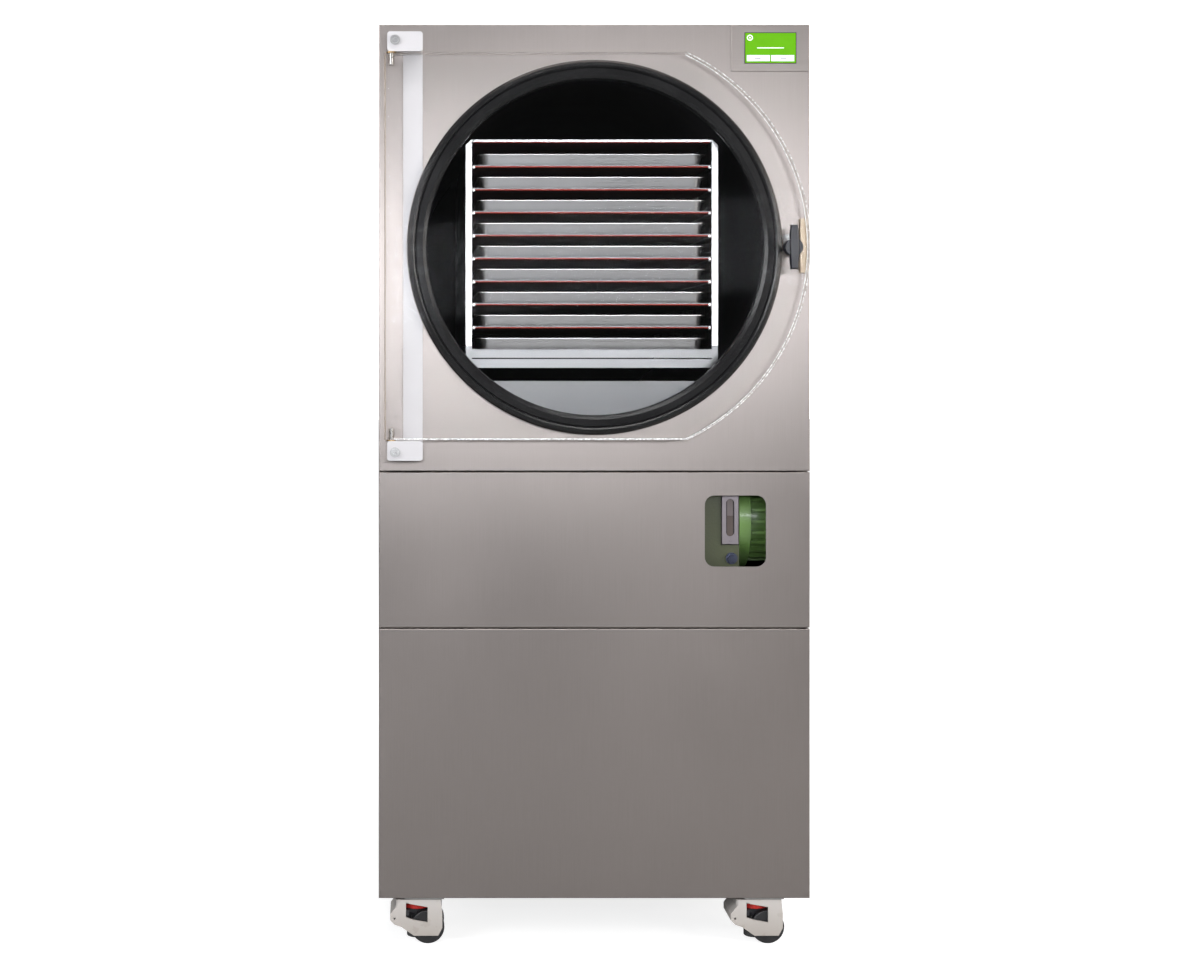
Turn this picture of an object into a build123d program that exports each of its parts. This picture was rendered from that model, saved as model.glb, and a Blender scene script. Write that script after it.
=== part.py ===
from build123d import *
from math import sqrt
import os

# A laboratory freeze dryer: a stainless cabinet on levelling casters, a round vacuum chamber behind a
# clear door, a heated rack of trays, a vacuum pump and a refrigeration set.
# Millimetres. +Z is up, the front faces -Y, +X is to the right of someone who faces it. The origin is on
# the floor, midway between the outermost points in X and in Y.

# --- cabinet ---
cabinet_width = 776.0
cabinet_depth = 1100.0
cabinet_height = 1573.0
sheet = 1.5
panel_fold = 20.0
bend_radius = 1.4
upper_panel_height = 805.0
middle_panel_height = 282.0
panel_seam = 2.0
window_width = 110.0
window_height = 128.0
window_corner = 17.0
window_inset = 134.0
window_drop = 43.0
deck_fold = 25.0
service_gap = 100.0
pump_deck_level = 515.0

# --- rear panel ---
vent_length = 300.0
vent_height = 8.0
vent_pitch = 24.0
vent_count = 14
inlet_width = 48.0
inlet_height = 34.0
inlet_depth = 30.0
inlet_flange = 8.0
inlet_flange_thickness = 3.0
inlet_recess = 18.0
inlet_inset = 108.0
inlet_level = 180.0
cutout_clearance = 0.5

# --- control panel ---
fascia_width = 139.0
fascia_height = 84.0
fascia_thickness = 3.0
fascia_edge_x = 3.0
fascia_edge_z = 1.0
screen_width = 93.0
screen_height = 55.6
screen_depth = 12.0
screen_proud = 1.0
screen_offset_x = 1.0

# --- chamber ---
chamber_drop = 402.0
chamber_radius = 316.0
chamber_wall = 6.0
chamber_length = 950.0
chamber_end_wall = 8.0
rim_reach = 8.0
chamber_hole_clearance = 2.0
coil_radius = 6.0
coil_pitch = 60.0
coil_count = 13
coil_start = 120.0
sill_drop = 240.0
sill_thickness = 2.0
sill_setback = 4.0
saddle_height = 34.0
saddle_half_width = 210.0
saddle_thickness = 12.0
saddle_rise = 90.0
saddle_clearance = 0.3
port_radius = 17.0
port_bore = 12.5
port_drop = 306.0
line_stub_drop = 156.0
line_stub_length = 20.0

# --- seal ---
seal_outer_radius = 336.5
seal_inner_radius = 301.0
seal_reach = 22.0
seal_slot_clearance = 0.1
seal_lip_back = 3.0
seal_groove_depth = 4.5
seal_groove_half_width = 2.0
seal_crest_dip = 1.5
seal_outer_bevel = 5.0
seal_inner_bevel = 8.0

# --- rack and trays ---
rack_half_width = 230.0
rack_rise = 200.0
rack_setback = 45.0
rack_length = 880.0
rack_wall = 3.0
rack_corner = 10.0
rack_flange = 11.0
rack_sill = 16.0
rack_lintel = 4.0
rack_seat_clearance = 0.3
crossbar_height = 14.0
shelf_count = 9
shelf_pitch = 42.0
first_shelf_rise = 154.0
shelf_thickness = 2.0
mat_thickness = 1.6
mat_margin = 14.0
mat_end_margin = 6.0
tray_width = 400.0
tray_length = 846.0
tray_height = 20.0
tray_wall = 1.0
tray_corner = 12.0
tray_flare = 12.0
tray_rim = 5.0
tray_setback = 8.0

# --- door ---
door_thickness = 25.0
door_radius = 380.0
door_half_height = 344.0
door_gap = 0.3
pivot_inset = 23.0

# --- hinge ---
hinge_strip_inset = 44.0
hinge_strip_width = 35.0
hinge_strip_thickness = 8.0
hinge_ear_inset = 16.0
hinge_ear_height = 35.0
hinge_ear_gap = 2.0
hinge_ear_corner = 5.0
hinge_notch_clearance = 1.5
pin_radius = 4.0
pin_fit = 0.05
pin_in_door = 20.0
pin_in_ear = 12.0
pin_end_gap = 1.0
collar_radius = 9.0
collar_clearance = 0.2
bolt_inset = 30.0
bolt_rise = 20.0
bolt_radius = 4.0
bolt_hole_clearance = 0.5
bolt_washer_radius = 9.0
bolt_washer_thickness = 1.6
bolt_head_radius = 6.5
bolt_head_height = 5.0
bolt_socket_depth = 3.5
bolt_tail = 18.0

# --- latch ---
latch_inset = 34.0
latch_drop = 3.0
hub_radius = 15.5
hub_length = 14.0
bar_length = 78.0
bar_width = 17.0
bar_tip_width = 12.0
bar_thickness = 14.0
spindle_radius = 6.0
spindle_in_handle = 12.0
tongue_reach = 26.0
tongue_width = 14.0
tongue_thickness = 5.0
keeper_width = 12.0
keeper_height = 97.0
keeper_rise = 3.0
keeper_sheet = 3.0
keeper_throat = 10.0

# --- vacuum pump ---
pump_front = 30.0
pump_inset = 122.0
pump_width = 200.0
pump_depth = 170.0
pump_height = 210.0
pump_corner = 24.0
pump_foot_height = 40.0
pump_foot_inset = 30.0
motor_rise = 160.0
motor_radius = 70.0
motor_fin_height = 10.0
motor_fin_thickness = 5.0
motor_fin_count = 24
motor_length = 88.0
motor_flange_radius = 90.0
motor_flange_thickness = 21.0
motor_neck = 3.0
sight_inset = 17.0
sight_width = 32.0
sight_height = 98.0
sight_level = 119.0
sight_thickness = 5.0
slot_width = 15.0
slot_height = 68.0
slot_level = 134.0
glass_thickness = 3.0
glass_fit = 0.1
sight_screw_radius = 3.0
sight_screw_height = 1.2
sight_screw_gap = 8.0
plug_radius = 10.5
plug_length = 9.0
plug_thread_radius = 7.0
plug_thread_length = 8.0
plug_level = 94.0
plug_inset = 14.0
inlet_block_depth = 90.0
port_inset = 96.0
inlet_block_height = 110.0
hose_stub_length = 20.0
hose_radius = 12.5
hose_bend = 110.0
hose_deck_clearance = 12.0

# --- refrigeration set ---
compressor_inset = 198.0
compressor_from_rear = 330.0
compressor_radius = 95.0
compressor_height = 250.0
compressor_dome = 60.0
compressor_foot_radius = 12.0
compressor_foot_height = 15.0
compressor_plate = 3.0
compressor_plate_half = 85.0
stub_radius = 8.0
stub_length = 12.0
stub_spread = 40.0
line_radius = 5.0
line_bend = 30.0
line_drop_lead = 78.0
condenser_inset = 268.0
condenser_from_rear = 30.0
coil_width = 360.0
coil_height = 400.0
coil_depth = 50.0
fin_groove = 2.0
fin_groove_depth = 10.0
fin_pitch = 20.0
shroud_depth = 60.0
shroud_hole_radius = 152.0
fan_tip_radius = 145.0
fan_hub_radius = 40.0
fan_hub_length = 26.0
fan_blade_count = 5
fan_blade_chord = 58.0
fan_blade_thickness = 3.0
fan_blade_pitch = 25.0
fan_spindle_radius = 6.0
fan_running_clearance = 0.05
fan_motor_radius = 38.0
fan_motor_length = 22.0
fan_bar_height = 20.0
fan_bar_thickness = 4.0

# --- casters ---
caster_height = 85.0
caster_inset_x = 81.0
caster_inset_y = 44.0
plate_half = 37.0
plate_thickness = 4.0
kingpin_radius = 8.0
kingpin_length = 8.0
swivel_gap = 0.3
running_clearance = 0.05
housing_x = -9.5
housing_half_width = 40.5
housing_half_depth = 39.0
housing_wall = 4.0
housing_roof = 8.0
housing_edge = 6.0
lobe_reach = 51.0
lobe_shoulder_drop = 13.0
lobe_top_drop = 26.0
lobe_bottom_drop = 37.0
lobe_root_drop = 45.0
lobe_root_width = 8.0
lobe_heel_drop = 49.0
lobe_heel_width = 20.0
lobe_hole_drop = 34.0
lobe_hole_inset = 8.0
skirt_lift = 16.0
skirt_left = -8.0
skirt_inset = 5.0
skirt_flare = 2.5
skirt_flare_drop = 24.0
wheel_radius = 30.0
wheel_x = 17.0
wheel_face = 33.0
wheel_disc_width = 13.0
wheel_hub_radius = 8.0
wheel_edge = 2.0
axle_radius = 5.0
dial_window_reach = 19.5
dial_window_drop = 4.0
dial_window_slope = 9.0
dial_window_height = 28.0
dial_window_corner = 7.0
stem_x = -3.0
stem_radius = 5.0
dial_radius = 29.0
dial_thickness = 11.0
dial_hub_radius = 14.0
dial_hub_length = 17.0
dial_gap = 0.3
web_height = 10.0
web_half_depth = 17.0
foot_radius = 18.0
foot_thickness = 12.0
foot_lift = 6.0
foot_edge = 2.0

# --- places that follow from the sizes ---
base_z = caster_height
top_z = base_z + cabinet_height
half_width = cabinet_width / 2
window_centre_x = half_width - window_inset
inlet_x = half_width - inlet_inset
pivot_x = pivot_inset - half_width
hinge_strip_left = hinge_strip_inset - half_width
hinge_strip_right = hinge_strip_left + hinge_strip_width
hinge_ear_left = hinge_ear_inset - half_width
bolt_x = bolt_inset - half_width
latch_x = door_radius - latch_inset
pump_right = half_width - pump_inset
pump_left = pump_right - pump_width
port_x = pump_right - port_inset
sight_x = pump_right - sight_inset
plug_x = pump_right - plug_inset
compressor_x = half_width - compressor_inset
condenser_x = condenser_inset - half_width
line_stub_x = compressor_x + stub_spread
door_back_reach = seal_reach + door_gap
door_front_reach = door_back_reach + door_thickness
handle_back_reach = door_front_reach + door_gap
front_reach = handle_back_reach + hub_length + bar_thickness
front_y = front_reach - (front_reach + cabinet_depth + inlet_flange_thickness) / 2
rear_y = front_y + cabinet_depth
chamber_z = top_z - chamber_drop
shell_radius = chamber_radius + chamber_wall
upper_seam_z = top_z - upper_panel_height
lower_seam_z = upper_seam_z - middle_panel_height
inner_front_y = front_y + panel_fold
inner_rear_y = rear_y - panel_fold
deck_rear_y = rear_y - service_gap
pump_deck_z = base_z + pump_deck_level
chamber_deck_z = chamber_z - shell_radius - saddle_height
rack_front_y = front_y + rack_setback
rack_rear_y = rack_front_y + rack_length
rack_top_z = chamber_z + rack_rise
rack_bottom_z = chamber_z - sqrt((chamber_radius - rack_seat_clearance) ** 2 - rack_half_width**2)
shelf_tops = [chamber_z + first_shelf_rise - i * shelf_pitch for i in range(shelf_count)]
pivot_y = front_y - door_back_reach - door_thickness / 2
latch_z = chamber_z - latch_drop
coil_depths = [coil_start + i * coil_pitch for i in range(coil_count)]
port_y = front_y + (coil_depths[2] + coil_depths[3]) / 2
port_end_z = chamber_z - port_drop
fascia_right_x = half_width - fascia_edge_x
fascia_top_z = top_z - fascia_edge_z
screen_x = fascia_right_x - fascia_width / 2 + screen_offset_x
screen_z = fascia_top_z - fascia_height / 2
window_z = upper_seam_z - window_drop - window_height / 2
bolt_places = [chamber_z + side * (door_half_height + hinge_ear_gap + bolt_rise) for side in (1, -1)]
inlet_z = base_z + inlet_level


def block(x, y, z):
    """A box between two values on each axis."""
    size = [high - low for low, high in (x, y, z)]
    centre = [(low + high) / 2 for low, high in (x, y, z)]
    return Pos(*centre) * Box(*size)


def either_side(half):
    return (-half, half)


def about(centre, size):
    return (centre - size / 2, centre + size / 2)


def rod_x(radius, x, y, z):
    """A round bar along X."""
    return Pos(sum(x) / 2, y, z) * Rot(0, 90, 0) * Cylinder(radius, x[1] - x[0])


def rod_y(radius, y, x, z):
    """A round bar along Y."""
    return Pos(x, sum(y) / 2, z) * Rot(90, 0, 0) * Cylinder(radius, y[1] - y[0])


def rod_z(radius, z, x=0.0, y=0.0):
    """A round bar along Z."""
    return Pos(x, y, sum(z) / 2) * Cylinder(radius, z[1] - z[0])


def along_y(sketch, y):
    """A sketch drawn in X and Z, carried from y[0] to y[1]."""
    plane = Plane(origin=(0, y[1], 0), x_dir=(1, 0, 0), z_dir=(0, -1, 0))
    return extrude(plane * sketch, y[1] - y[0])


def turned_about_y(outline, x, z):
    """A closed outline of (radius, y) turned about the line along Y through x, z."""
    face = make_face(Pos(x, 0, z) * outline)
    return revolve(face, Axis((x, 0, z), (0, 1, 0)), 360)


def pan(x, y, z, open_to):
    """A sheet folded into a tray that is open to one side, such as "+y"."""
    spans = {"x": list(x), "y": list(y), "z": list(z)}
    hollow = {axis: [low + sheet, high - sheet] for axis, (low, high) in spans.items()}
    end = 1 if open_to[0] == "+" else 0
    hollow[open_to[1]][end] = spans[open_to[1]][end] + (sheet if end else -sheet)
    return block(x, y, z) - block(hollow["x"], hollow["y"], hollow["z"])


def tube(points, radius, bend):
    """A round line through points, with the same bend at each corner."""
    path = FilletPolyline(*points, radius=bend)
    start = Plane(origin=path @ 0, z_dir=path % 0)
    return sweep(start * Circle(radius), path=path)


# --- cabinet ---
def front_panel(z):
    panel = pan(either_side(half_width), (front_y, inner_front_y), z, "+y")
    return fillet(panel.faces().sort_by(Axis.Y)[0].edges(), bend_radius)


def front_panel_upper():
    panel = front_panel((upper_seam_z + panel_seam / 2, top_z))
    depth = (front_y - sheet, front_y + 2 * sheet)
    panel -= rod_y(shell_radius + chamber_hole_clearance, depth, 0, chamber_z)
    panel -= screen_block(depth, cutout_clearance)
    for z in bolt_places:
        panel -= rod_y(bolt_radius + bolt_hole_clearance, depth, bolt_x, z)
    return panel


def front_panel_middle():
    panel = front_panel((lower_seam_z + panel_seam / 2, upper_seam_z - panel_seam / 2))
    opening = Pos(window_centre_x, window_z) * RectangleRounded(window_width, window_height, window_corner)
    return panel - along_y(opening, (front_y - sheet, front_y + 2 * sheet))


def front_panel_lower():
    return front_panel((base_z, lower_seam_z - panel_seam / 2))


def side_panel(side):
    outer, inner = side * half_width, side * (half_width - panel_fold)
    z = (base_z + panel_fold, top_z - panel_fold)
    return pan(sorted((outer, inner)), (inner_front_y, inner_rear_y), z, "-x" if side > 0 else "+x")


def rear_panel():
    panel = pan(either_side(half_width), (inner_rear_y, rear_y), (base_z, top_z), "-y")
    depth = (rear_y - 2 * sheet, rear_y + sheet)
    vents_z = base_z + sheet + coil_height / 2
    for i in range(vent_count):
        z = vents_z + (i - (vent_count - 1) / 2) * vent_pitch
        panel -= block(about(condenser_x, vent_length), depth, about(z, vent_height))
    return panel - inlet_block(depth, cutout_clearance)


def inlet_block(y, margin=0.0):
    width, height = inlet_width + 2 * margin, inlet_height + 2 * margin
    return block(about(inlet_x, width), y, about(inlet_z, height))


def power_inlet():
    """A flanged mains inlet with a recess and three blades."""
    flange_y = (rear_y, rear_y + inlet_flange_thickness)
    inlet = inlet_block((rear_y - inlet_depth, rear_y))
    inlet += inlet_block(flange_y, inlet_flange)
    inlet -= inlet_block((rear_y - inlet_recess, flange_y[1] + sheet), -inlet_flange / 2)
    for x in (-1, 0, 1):
        inlet += block(
            about(inlet_x + x * inlet_width / 4, inlet_flange / 4),
            (rear_y - inlet_recess, rear_y - inlet_recess / 4),
            about(inlet_z, inlet_height / 3),
        )
    return inlet


def deck(top):
    return pan(
        either_side(half_width - sheet),
        (inner_front_y + sheet, deck_rear_y),
        (top - deck_fold, top),
        "-z",
    )


def chamber_deck():
    """The upper deck, with the two saddles that cradle the chamber between turns of its coil."""
    made = deck(chamber_deck_z)
    for first in (0, coil_count - 2):
        y = front_y + (coil_depths[first] + coil_depths[first + 1]) / 2
        made += block(
            either_side(saddle_half_width),
            about(y, saddle_thickness),
            (chamber_deck_z, chamber_deck_z + saddle_rise),
        )
    made -= rod_y(shell_radius + saddle_clearance, (front_y, rear_y), 0, chamber_z)
    hole = hose_radius + hose_deck_clearance
    return made - rod_z(hole, (chamber_deck_z - deck_fold, chamber_deck_z + sheet), port_x, hose_middle_y())


def equipment_decks():
    return Compound([chamber_deck().solid(), deck(pump_deck_z).solid()])


# --- control panel ---
def screen_block(y, margin=0.0):
    width, height = screen_width + 2 * margin, screen_height + 2 * margin
    return block(about(screen_x, width), y, about(screen_z, height))


def control_fascia():
    plate = block(
        (fascia_right_x - fascia_width, fascia_right_x),
        (front_y - fascia_thickness, front_y),
        (fascia_top_z - fascia_height, fascia_top_z),
    )
    plate = fillet(plate.faces().sort_by(Axis.Y)[0].edges(), bend_radius / 2)
    return plate - screen_block((front_y - 2 * fascia_thickness, front_y + sheet), glass_fit)


def display_screen():
    front = front_y - fascia_thickness - screen_proud
    return screen_block((front, front + screen_depth))


# --- chamber ---
def chamber_shell():
    """The vessel: a tube with a closed end, the evaporator's turns brazed round it, and its ports."""
    mouth, end = front_y - rim_reach, front_y + chamber_length
    outline = Polyline((0, end), (chamber_radius, end), (chamber_radius, mouth), (shell_radius, mouth))
    last = (shell_radius, mouth)
    for depth in coil_depths:
        y = front_y + depth
        low, high = (shell_radius, y - coil_radius), (shell_radius, y + coil_radius)
        outline += Line(last, low) + ThreePointArc(low, (shell_radius + coil_radius, y), high)
        last = high
    back = end + chamber_end_wall
    outline += Polyline(last, (shell_radius, back), (0, back), (0, end))
    shell = turned_about_y(outline, 0, chamber_z)
    bore = rod_y(chamber_radius, (mouth, end), 0, chamber_z)
    shell += rod_z(port_radius, (port_end_z, chamber_z), port_x, port_y) - bore
    shell -= rod_z(port_bore, (port_end_z, chamber_z), port_x, port_y)
    stub = (back, back + line_stub_length)
    shell += rod_y(stub_radius, stub, line_stub_x, chamber_z - line_stub_drop)
    return shell + sill_plate()


def sill_plate():
    """The low plate across the chamber's mouth that keeps meltwater in."""
    y = (front_y + sill_setback, front_y + sill_setback + sill_thickness)
    disc = rod_y(chamber_radius + chamber_wall / 2, y, 0, chamber_z)
    above = block(either_side(shell_radius), y, (chamber_z - sill_drop, chamber_z + shell_radius))
    return disc - above


def door_seal():
    """A moulded ring with a slot that pushes onto the chamber's rim, and two lips at its front."""
    slot_in = chamber_radius - seal_slot_clearance
    slot_out = shell_radius + seal_slot_clearance
    slot_front = front_y - rim_reach - seal_slot_clearance
    crest = front_y - seal_reach
    outline = Polyline(
        (slot_out, front_y),
        (seal_outer_radius, front_y),
        (seal_outer_radius, front_y - 0.5 * seal_reach),
        (seal_outer_radius - seal_outer_bevel, crest + seal_crest_dip),
        (seal_outer_radius - 2 * seal_outer_bevel, crest),
        (shell_radius + seal_groove_half_width, crest + seal_crest_dip),
        (shell_radius, crest + seal_groove_depth),
        (shell_radius - seal_groove_half_width, crest + seal_crest_dip),
        (seal_inner_radius + seal_inner_bevel, crest),
        (seal_inner_radius + seal_inner_bevel / 4, crest + seal_inner_bevel / 2),
        (seal_inner_radius, front_y - 0.5 * seal_reach),
        (seal_inner_radius, front_y - seal_lip_back),
        (slot_in, front_y - seal_lip_back),
        (slot_in, slot_front),
        (slot_out, slot_front),
        close=True,
    )
    return turned_about_y(outline, 0, chamber_z)


# --- rack and trays ---
def rack_outline(inset):
    """The rack's front outline, inset by a wall: square below, bevelled above."""
    x, top, bottom = rack_half_width - inset, rack_top_z - inset, rack_bottom_z + inset
    corner = rack_corner - inset / 2
    right = [(x, bottom), (x, top - corner), (x - corner, top)]
    left = [(-x, z) for x, z in reversed(right)]
    return make_face(Polyline(*right, *left, close=True))


def rack_frame():
    frame = along_y(rack_outline(0) - rack_outline(rack_wall), (rack_front_y, rack_rear_y))
    front = (rack_front_y, rack_front_y + rack_wall)
    opening = block(
        either_side(rack_half_width - rack_flange),
        front,
        (rack_bottom_z + rack_sill, rack_top_z - rack_lintel),
    )
    frame += along_y(rack_outline(rack_wall / 2), front) - opening
    bar_top = shelf_tops[-1] - shelf_thickness
    span = either_side(rack_half_width - rack_wall)
    return frame + block(span, front, (bar_top - crossbar_height, bar_top))


def rack_shelves():
    span = either_side(rack_half_width - rack_wall)
    y = (rack_front_y + rack_wall, rack_rear_y)
    return Compound([block(span, y, (top - shelf_thickness, top)).solid() for top in shelf_tops])


def heater_mats():
    """One mat under the rack's roof and one under each shelf."""
    ceilings = [rack_top_z - rack_wall] + [top - shelf_thickness for top in shelf_tops]
    span = either_side(rack_half_width - mat_margin)
    y = (rack_front_y + mat_end_margin, rack_rear_y - mat_end_margin)
    return Compound([block(span, y, (z - mat_thickness, z)).solid() for z in ceilings])


def tray(floor_z):
    """A pressed tray with flared walls and a flat rim."""
    y = rack_front_y + tray_setback + tray_length / 2 + tray_rim
    place = Pos(0, y, floor_z)
    outer = extrude(RectangleRounded(tray_width, tray_length, tray_corner), tray_height, taper=-tray_flare)
    inner_floor = RectangleRounded(
        tray_width - 2 * tray_wall, tray_length - 2 * tray_wall, tray_corner - tray_wall
    )
    inner = extrude(Pos(0, 0, tray_wall) * inner_floor, tray_height, taper=-tray_flare)
    mouth = outer.bounding_box().size
    rim = RectangleRounded(mouth.X + 2 * tray_rim, mouth.Y + 2 * tray_rim, tray_corner + tray_rim)
    flange = Pos(0, 0, tray_height - tray_wall) * extrude(rim, tray_wall)
    return place * (outer + flange - inner)


# --- door and its hinge ---
def door_outline():
    """Square to the hinge side and round to the other, concentric with the chamber."""
    z = door_half_height
    x = sqrt(door_radius**2 - z**2)
    edge = Polyline((x, z), (pivot_x, z), (pivot_x, -z), (x, -z))
    return Pos(0, chamber_z) * make_face(edge + ThreePointArc((x, -z), (door_radius, 0), (x, z)))


def door_panel():
    y = (front_y - door_front_reach, front_y - door_back_reach)
    z = (chamber_z - door_half_height, chamber_z + door_half_height)
    door = along_y(door_outline(), y)
    door += rod_z(door_thickness / 2, z, pivot_x, pivot_y)
    depth = pin_in_door + pin_end_gap
    for span in ((z[0], z[0] + depth), (z[1] - depth, z[1])):
        door -= rod_z(pin_radius + pin_fit, span, pivot_x, pivot_y)
    return door - rod_y(spindle_radius + running_clearance, y, latch_x, latch_z)


def hinge_plate():
    """A strip behind the door's edge, notched round the seal, with a forward ear above and below."""
    reach = door_front_reach
    ear_low = door_half_height + hinge_ear_gap
    ear_high = ear_low + hinge_ear_height
    plate = block(
        (hinge_strip_left, hinge_strip_right),
        (front_y - hinge_strip_thickness, front_y),
        (chamber_z - ear_high, chamber_z + ear_high),
    )
    notch = rod_y(seal_outer_radius + hinge_notch_clearance, (front_y - reach, front_y), 0, chamber_z)
    plate -= notch
    for side in (1, -1):
        z = sorted((chamber_z + side * ear_low, chamber_z + side * ear_high))
        ear = block((hinge_ear_left, hinge_strip_right), (front_y - reach, front_y), z)
        plate += fillet(ear.edges().filter_by(Axis.Y), hinge_ear_corner)
        bore = sorted((z[0 if side > 0 else 1], z[0 if side > 0 else 1] + side * pin_in_ear))
        plate -= rod_z(pin_radius + pin_fit, bore, pivot_x, pivot_y)
    for z in bolt_places:
        plate -= rod_y(bolt_radius + bolt_hole_clearance, (front_y - reach, front_y), bolt_x, z)
    return plate


def hinge_bolts():
    head_y = front_y - door_front_reach
    bolts = []
    for z in bolt_places:
        bolt = rod_y(bolt_radius, (head_y, front_y + bolt_tail), bolt_x, z)
        bolt += rod_y(bolt_washer_radius, (head_y - bolt_washer_thickness, head_y), bolt_x, z)
        head = (head_y - bolt_washer_thickness - bolt_head_height, head_y - bolt_washer_thickness)
        bolt += rod_y(bolt_head_radius, head, bolt_x, z)
        socket = Pos(bolt_x, z) * RegularPolygon(bolt_radius, 6)
        recess = along_y(socket, (head[0], head[0] + bolt_socket_depth))
        bolts.append((bolt - recess).solid())
    return Compound(bolts)


def hinge_pins():
    """The two pivot pins, each with a collar that the door turns against."""
    pins = []
    for side in (1, -1):
        edge = chamber_z + side * door_half_height
        ear = edge + side * hinge_ear_gap
        ends = sorted((edge - side * pin_in_door, ear + side * pin_in_ear))
        pin = rod_z(pin_radius, ends, pivot_x, pivot_y)
        collar = sorted((edge + side * collar_clearance, ear))
        pins.append((pin + rod_z(collar_radius, collar, pivot_x, pivot_y)).solid())
    return Compound(pins)


# --- latch ---
def latch_handle():
    """A T handle: a round hub and an upright bar that tapers to its ends."""
    back = front_y - handle_back_reach
    bar_y = (back - hub_length - bar_thickness, back - hub_length)
    outline = Polyline(
        (-bar_tip_width / 2, bar_length / 2),
        (bar_tip_width / 2, bar_length / 2),
        (bar_width / 2, 0),
        (bar_tip_width / 2, -bar_length / 2),
        (-bar_tip_width / 2, -bar_length / 2),
        (-bar_width / 2, 0),
        close=True,
    )
    bar = along_y(Pos(latch_x, latch_z) * make_face(outline), bar_y)
    bar = fillet(bar.faces().sort_by(Axis.Y)[0].edges(), bar_thickness / 5)
    hub = rod_y(hub_radius, (bar_y[0] + bar_thickness / 3, back), latch_x, latch_z)
    bore = rod_y(spindle_radius + running_clearance, (back - spindle_in_handle, back), latch_x, latch_z)
    return bar + hub - bore


def latch_tongue():
    """The spindle through the door, with the tongue that turns behind the keeper's lip."""
    tongue_back = front_y - keeper_sheet - (keeper_throat - tongue_thickness) / 2
    tongue_y = (tongue_back - tongue_thickness, tongue_back)
    handle_end = front_y - handle_back_reach - spindle_in_handle
    spindle = rod_y(spindle_radius, (handle_end, tongue_back), latch_x, latch_z)
    blade = Pos(latch_x, latch_z + tongue_reach / 2) * Rectangle(tongue_width, tongue_reach)
    sweep_disc = Pos(latch_x, latch_z) * Circle(tongue_reach)
    root = Pos(latch_x, latch_z) * Circle(tongue_width / 2)
    return spindle + along_y(blade & sweep_disc, tongue_y) + along_y(root, tongue_y)


def latch_keeper():
    """A folded strip behind the door's edge: a foot, a wall and a lip in front of the tongue."""
    x = (door_radius - keeper_width, door_radius)
    z = about(chamber_z + keeper_rise, keeper_height)
    reach = 2 * keeper_sheet + keeper_throat
    keeper = block(x, (front_y - reach, front_y), z)
    throat = (front_y - keeper_sheet - keeper_throat, front_y - keeper_sheet)
    return keeper - block((x[0], x[1] - keeper_sheet), throat, z)


# --- vacuum pump ---
def pump_y():
    return (front_y + pump_front, front_y + pump_front + pump_depth)


def pump_bottom_z():
    return pump_deck_z + pump_foot_height


def pump_casing():
    """The oil box on its foot, with the inlet block and its stub behind it."""
    bottom = pump_bottom_z()
    z = (bottom, bottom + pump_height)
    box = block((pump_left, pump_right), pump_y(), z)
    box = fillet(box.edges().filter_by(Axis.X), pump_corner)
    foot = (pump_y()[0] + pump_foot_inset, pump_y()[1] - pump_foot_inset)
    span = (pump_left + pump_foot_inset, pump_right - pump_foot_inset)
    box += block(span, foot, (pump_deck_z, bottom + pump_corner))
    back = (pump_y()[1], pump_y()[1] + inlet_block_depth)
    box += block(about(port_x, inlet_block_depth), back, (bottom, bottom + inlet_block_height))
    box += rod_z(port_radius, (bottom + inlet_block_height, hose_low_z()), port_x, hose_low_y())
    thread = (pump_y()[0], pump_y()[0] + plug_thread_length + glass_thickness)
    plug_z = pump_deck_z + plug_level
    return box - rod_y(plug_thread_radius + running_clearance, thread, plug_x, plug_z)


def pump_motor():
    """A finned motor and the round flange that bolts it to the oil box."""
    y = sum(pump_y()) / 2
    z = pump_deck_z + motor_rise
    flange = (pump_right, pump_right + motor_flange_thickness)
    neck = (flange[1], flange[1] + motor_neck)
    body = (neck[1], neck[1] + motor_length)
    plane = Plane(origin=(body[0], y, z), x_dir=(0, 1, 0), z_dir=(1, 0, 0))
    reach = motor_radius + motor_fin_height
    section = Circle(motor_radius)
    fin = Pos(reach / 2, 0) * Rectangle(reach, motor_fin_thickness)
    for i in range(motor_fin_count):
        section += Rot(0, 0, 360 * i / motor_fin_count) * fin
    motor = extrude(plane * section, motor_length)
    motor += rod_x(motor_radius, neck, y, z)
    return motor + rod_x(motor_flange_radius, flange, y, z)


def sight_slot(margin, y):
    z = pump_deck_z + slot_level + slot_height / 2
    width, height = slot_width + 2 * margin, slot_height + 2 * margin
    return along_y(Pos(sight_x, z) * Rot(0, 0, 90) * SlotOverall(height, width), y)


def sight_frame():
    """The metal bezel over the oil box's sight glass, with a screw above and below the slot."""
    y = (pump_y()[0] - sight_thickness, pump_y()[0])
    low = pump_deck_z + sight_level
    frame = block(about(sight_x, sight_width), y, (low, low + sight_height))
    frame = chamfer(frame.faces().sort_by(Axis.Y)[0].edges(), sight_thickness / 4)
    frame -= sight_slot(0, y)
    slot_low = pump_deck_z + slot_level
    for z in (slot_low - sight_screw_gap, slot_low + slot_height + sight_screw_gap):
        frame += rod_y(sight_screw_radius, (y[0] - sight_screw_height, y[0]), sight_x, z)
    return frame


def sight_glass():
    return sight_slot(-glass_fit, (pump_y()[0] - glass_thickness, pump_y()[0]))


def oil_drain_plug():
    face = pump_y()[0]
    z = pump_deck_z + plug_level
    plug = rod_y(plug_radius, (face - plug_length / 3, face), plug_x, z)
    head = Pos(plug_x, z) * RegularPolygon(plug_radius * 0.8, 6)
    plug += along_y(head, (face - plug_length, face - plug_length / 3))
    return plug + rod_y(plug_thread_radius, (face, face + plug_thread_length), plug_x, z)


def hose_low_y():
    return pump_y()[1] + inlet_block_depth / 2


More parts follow.
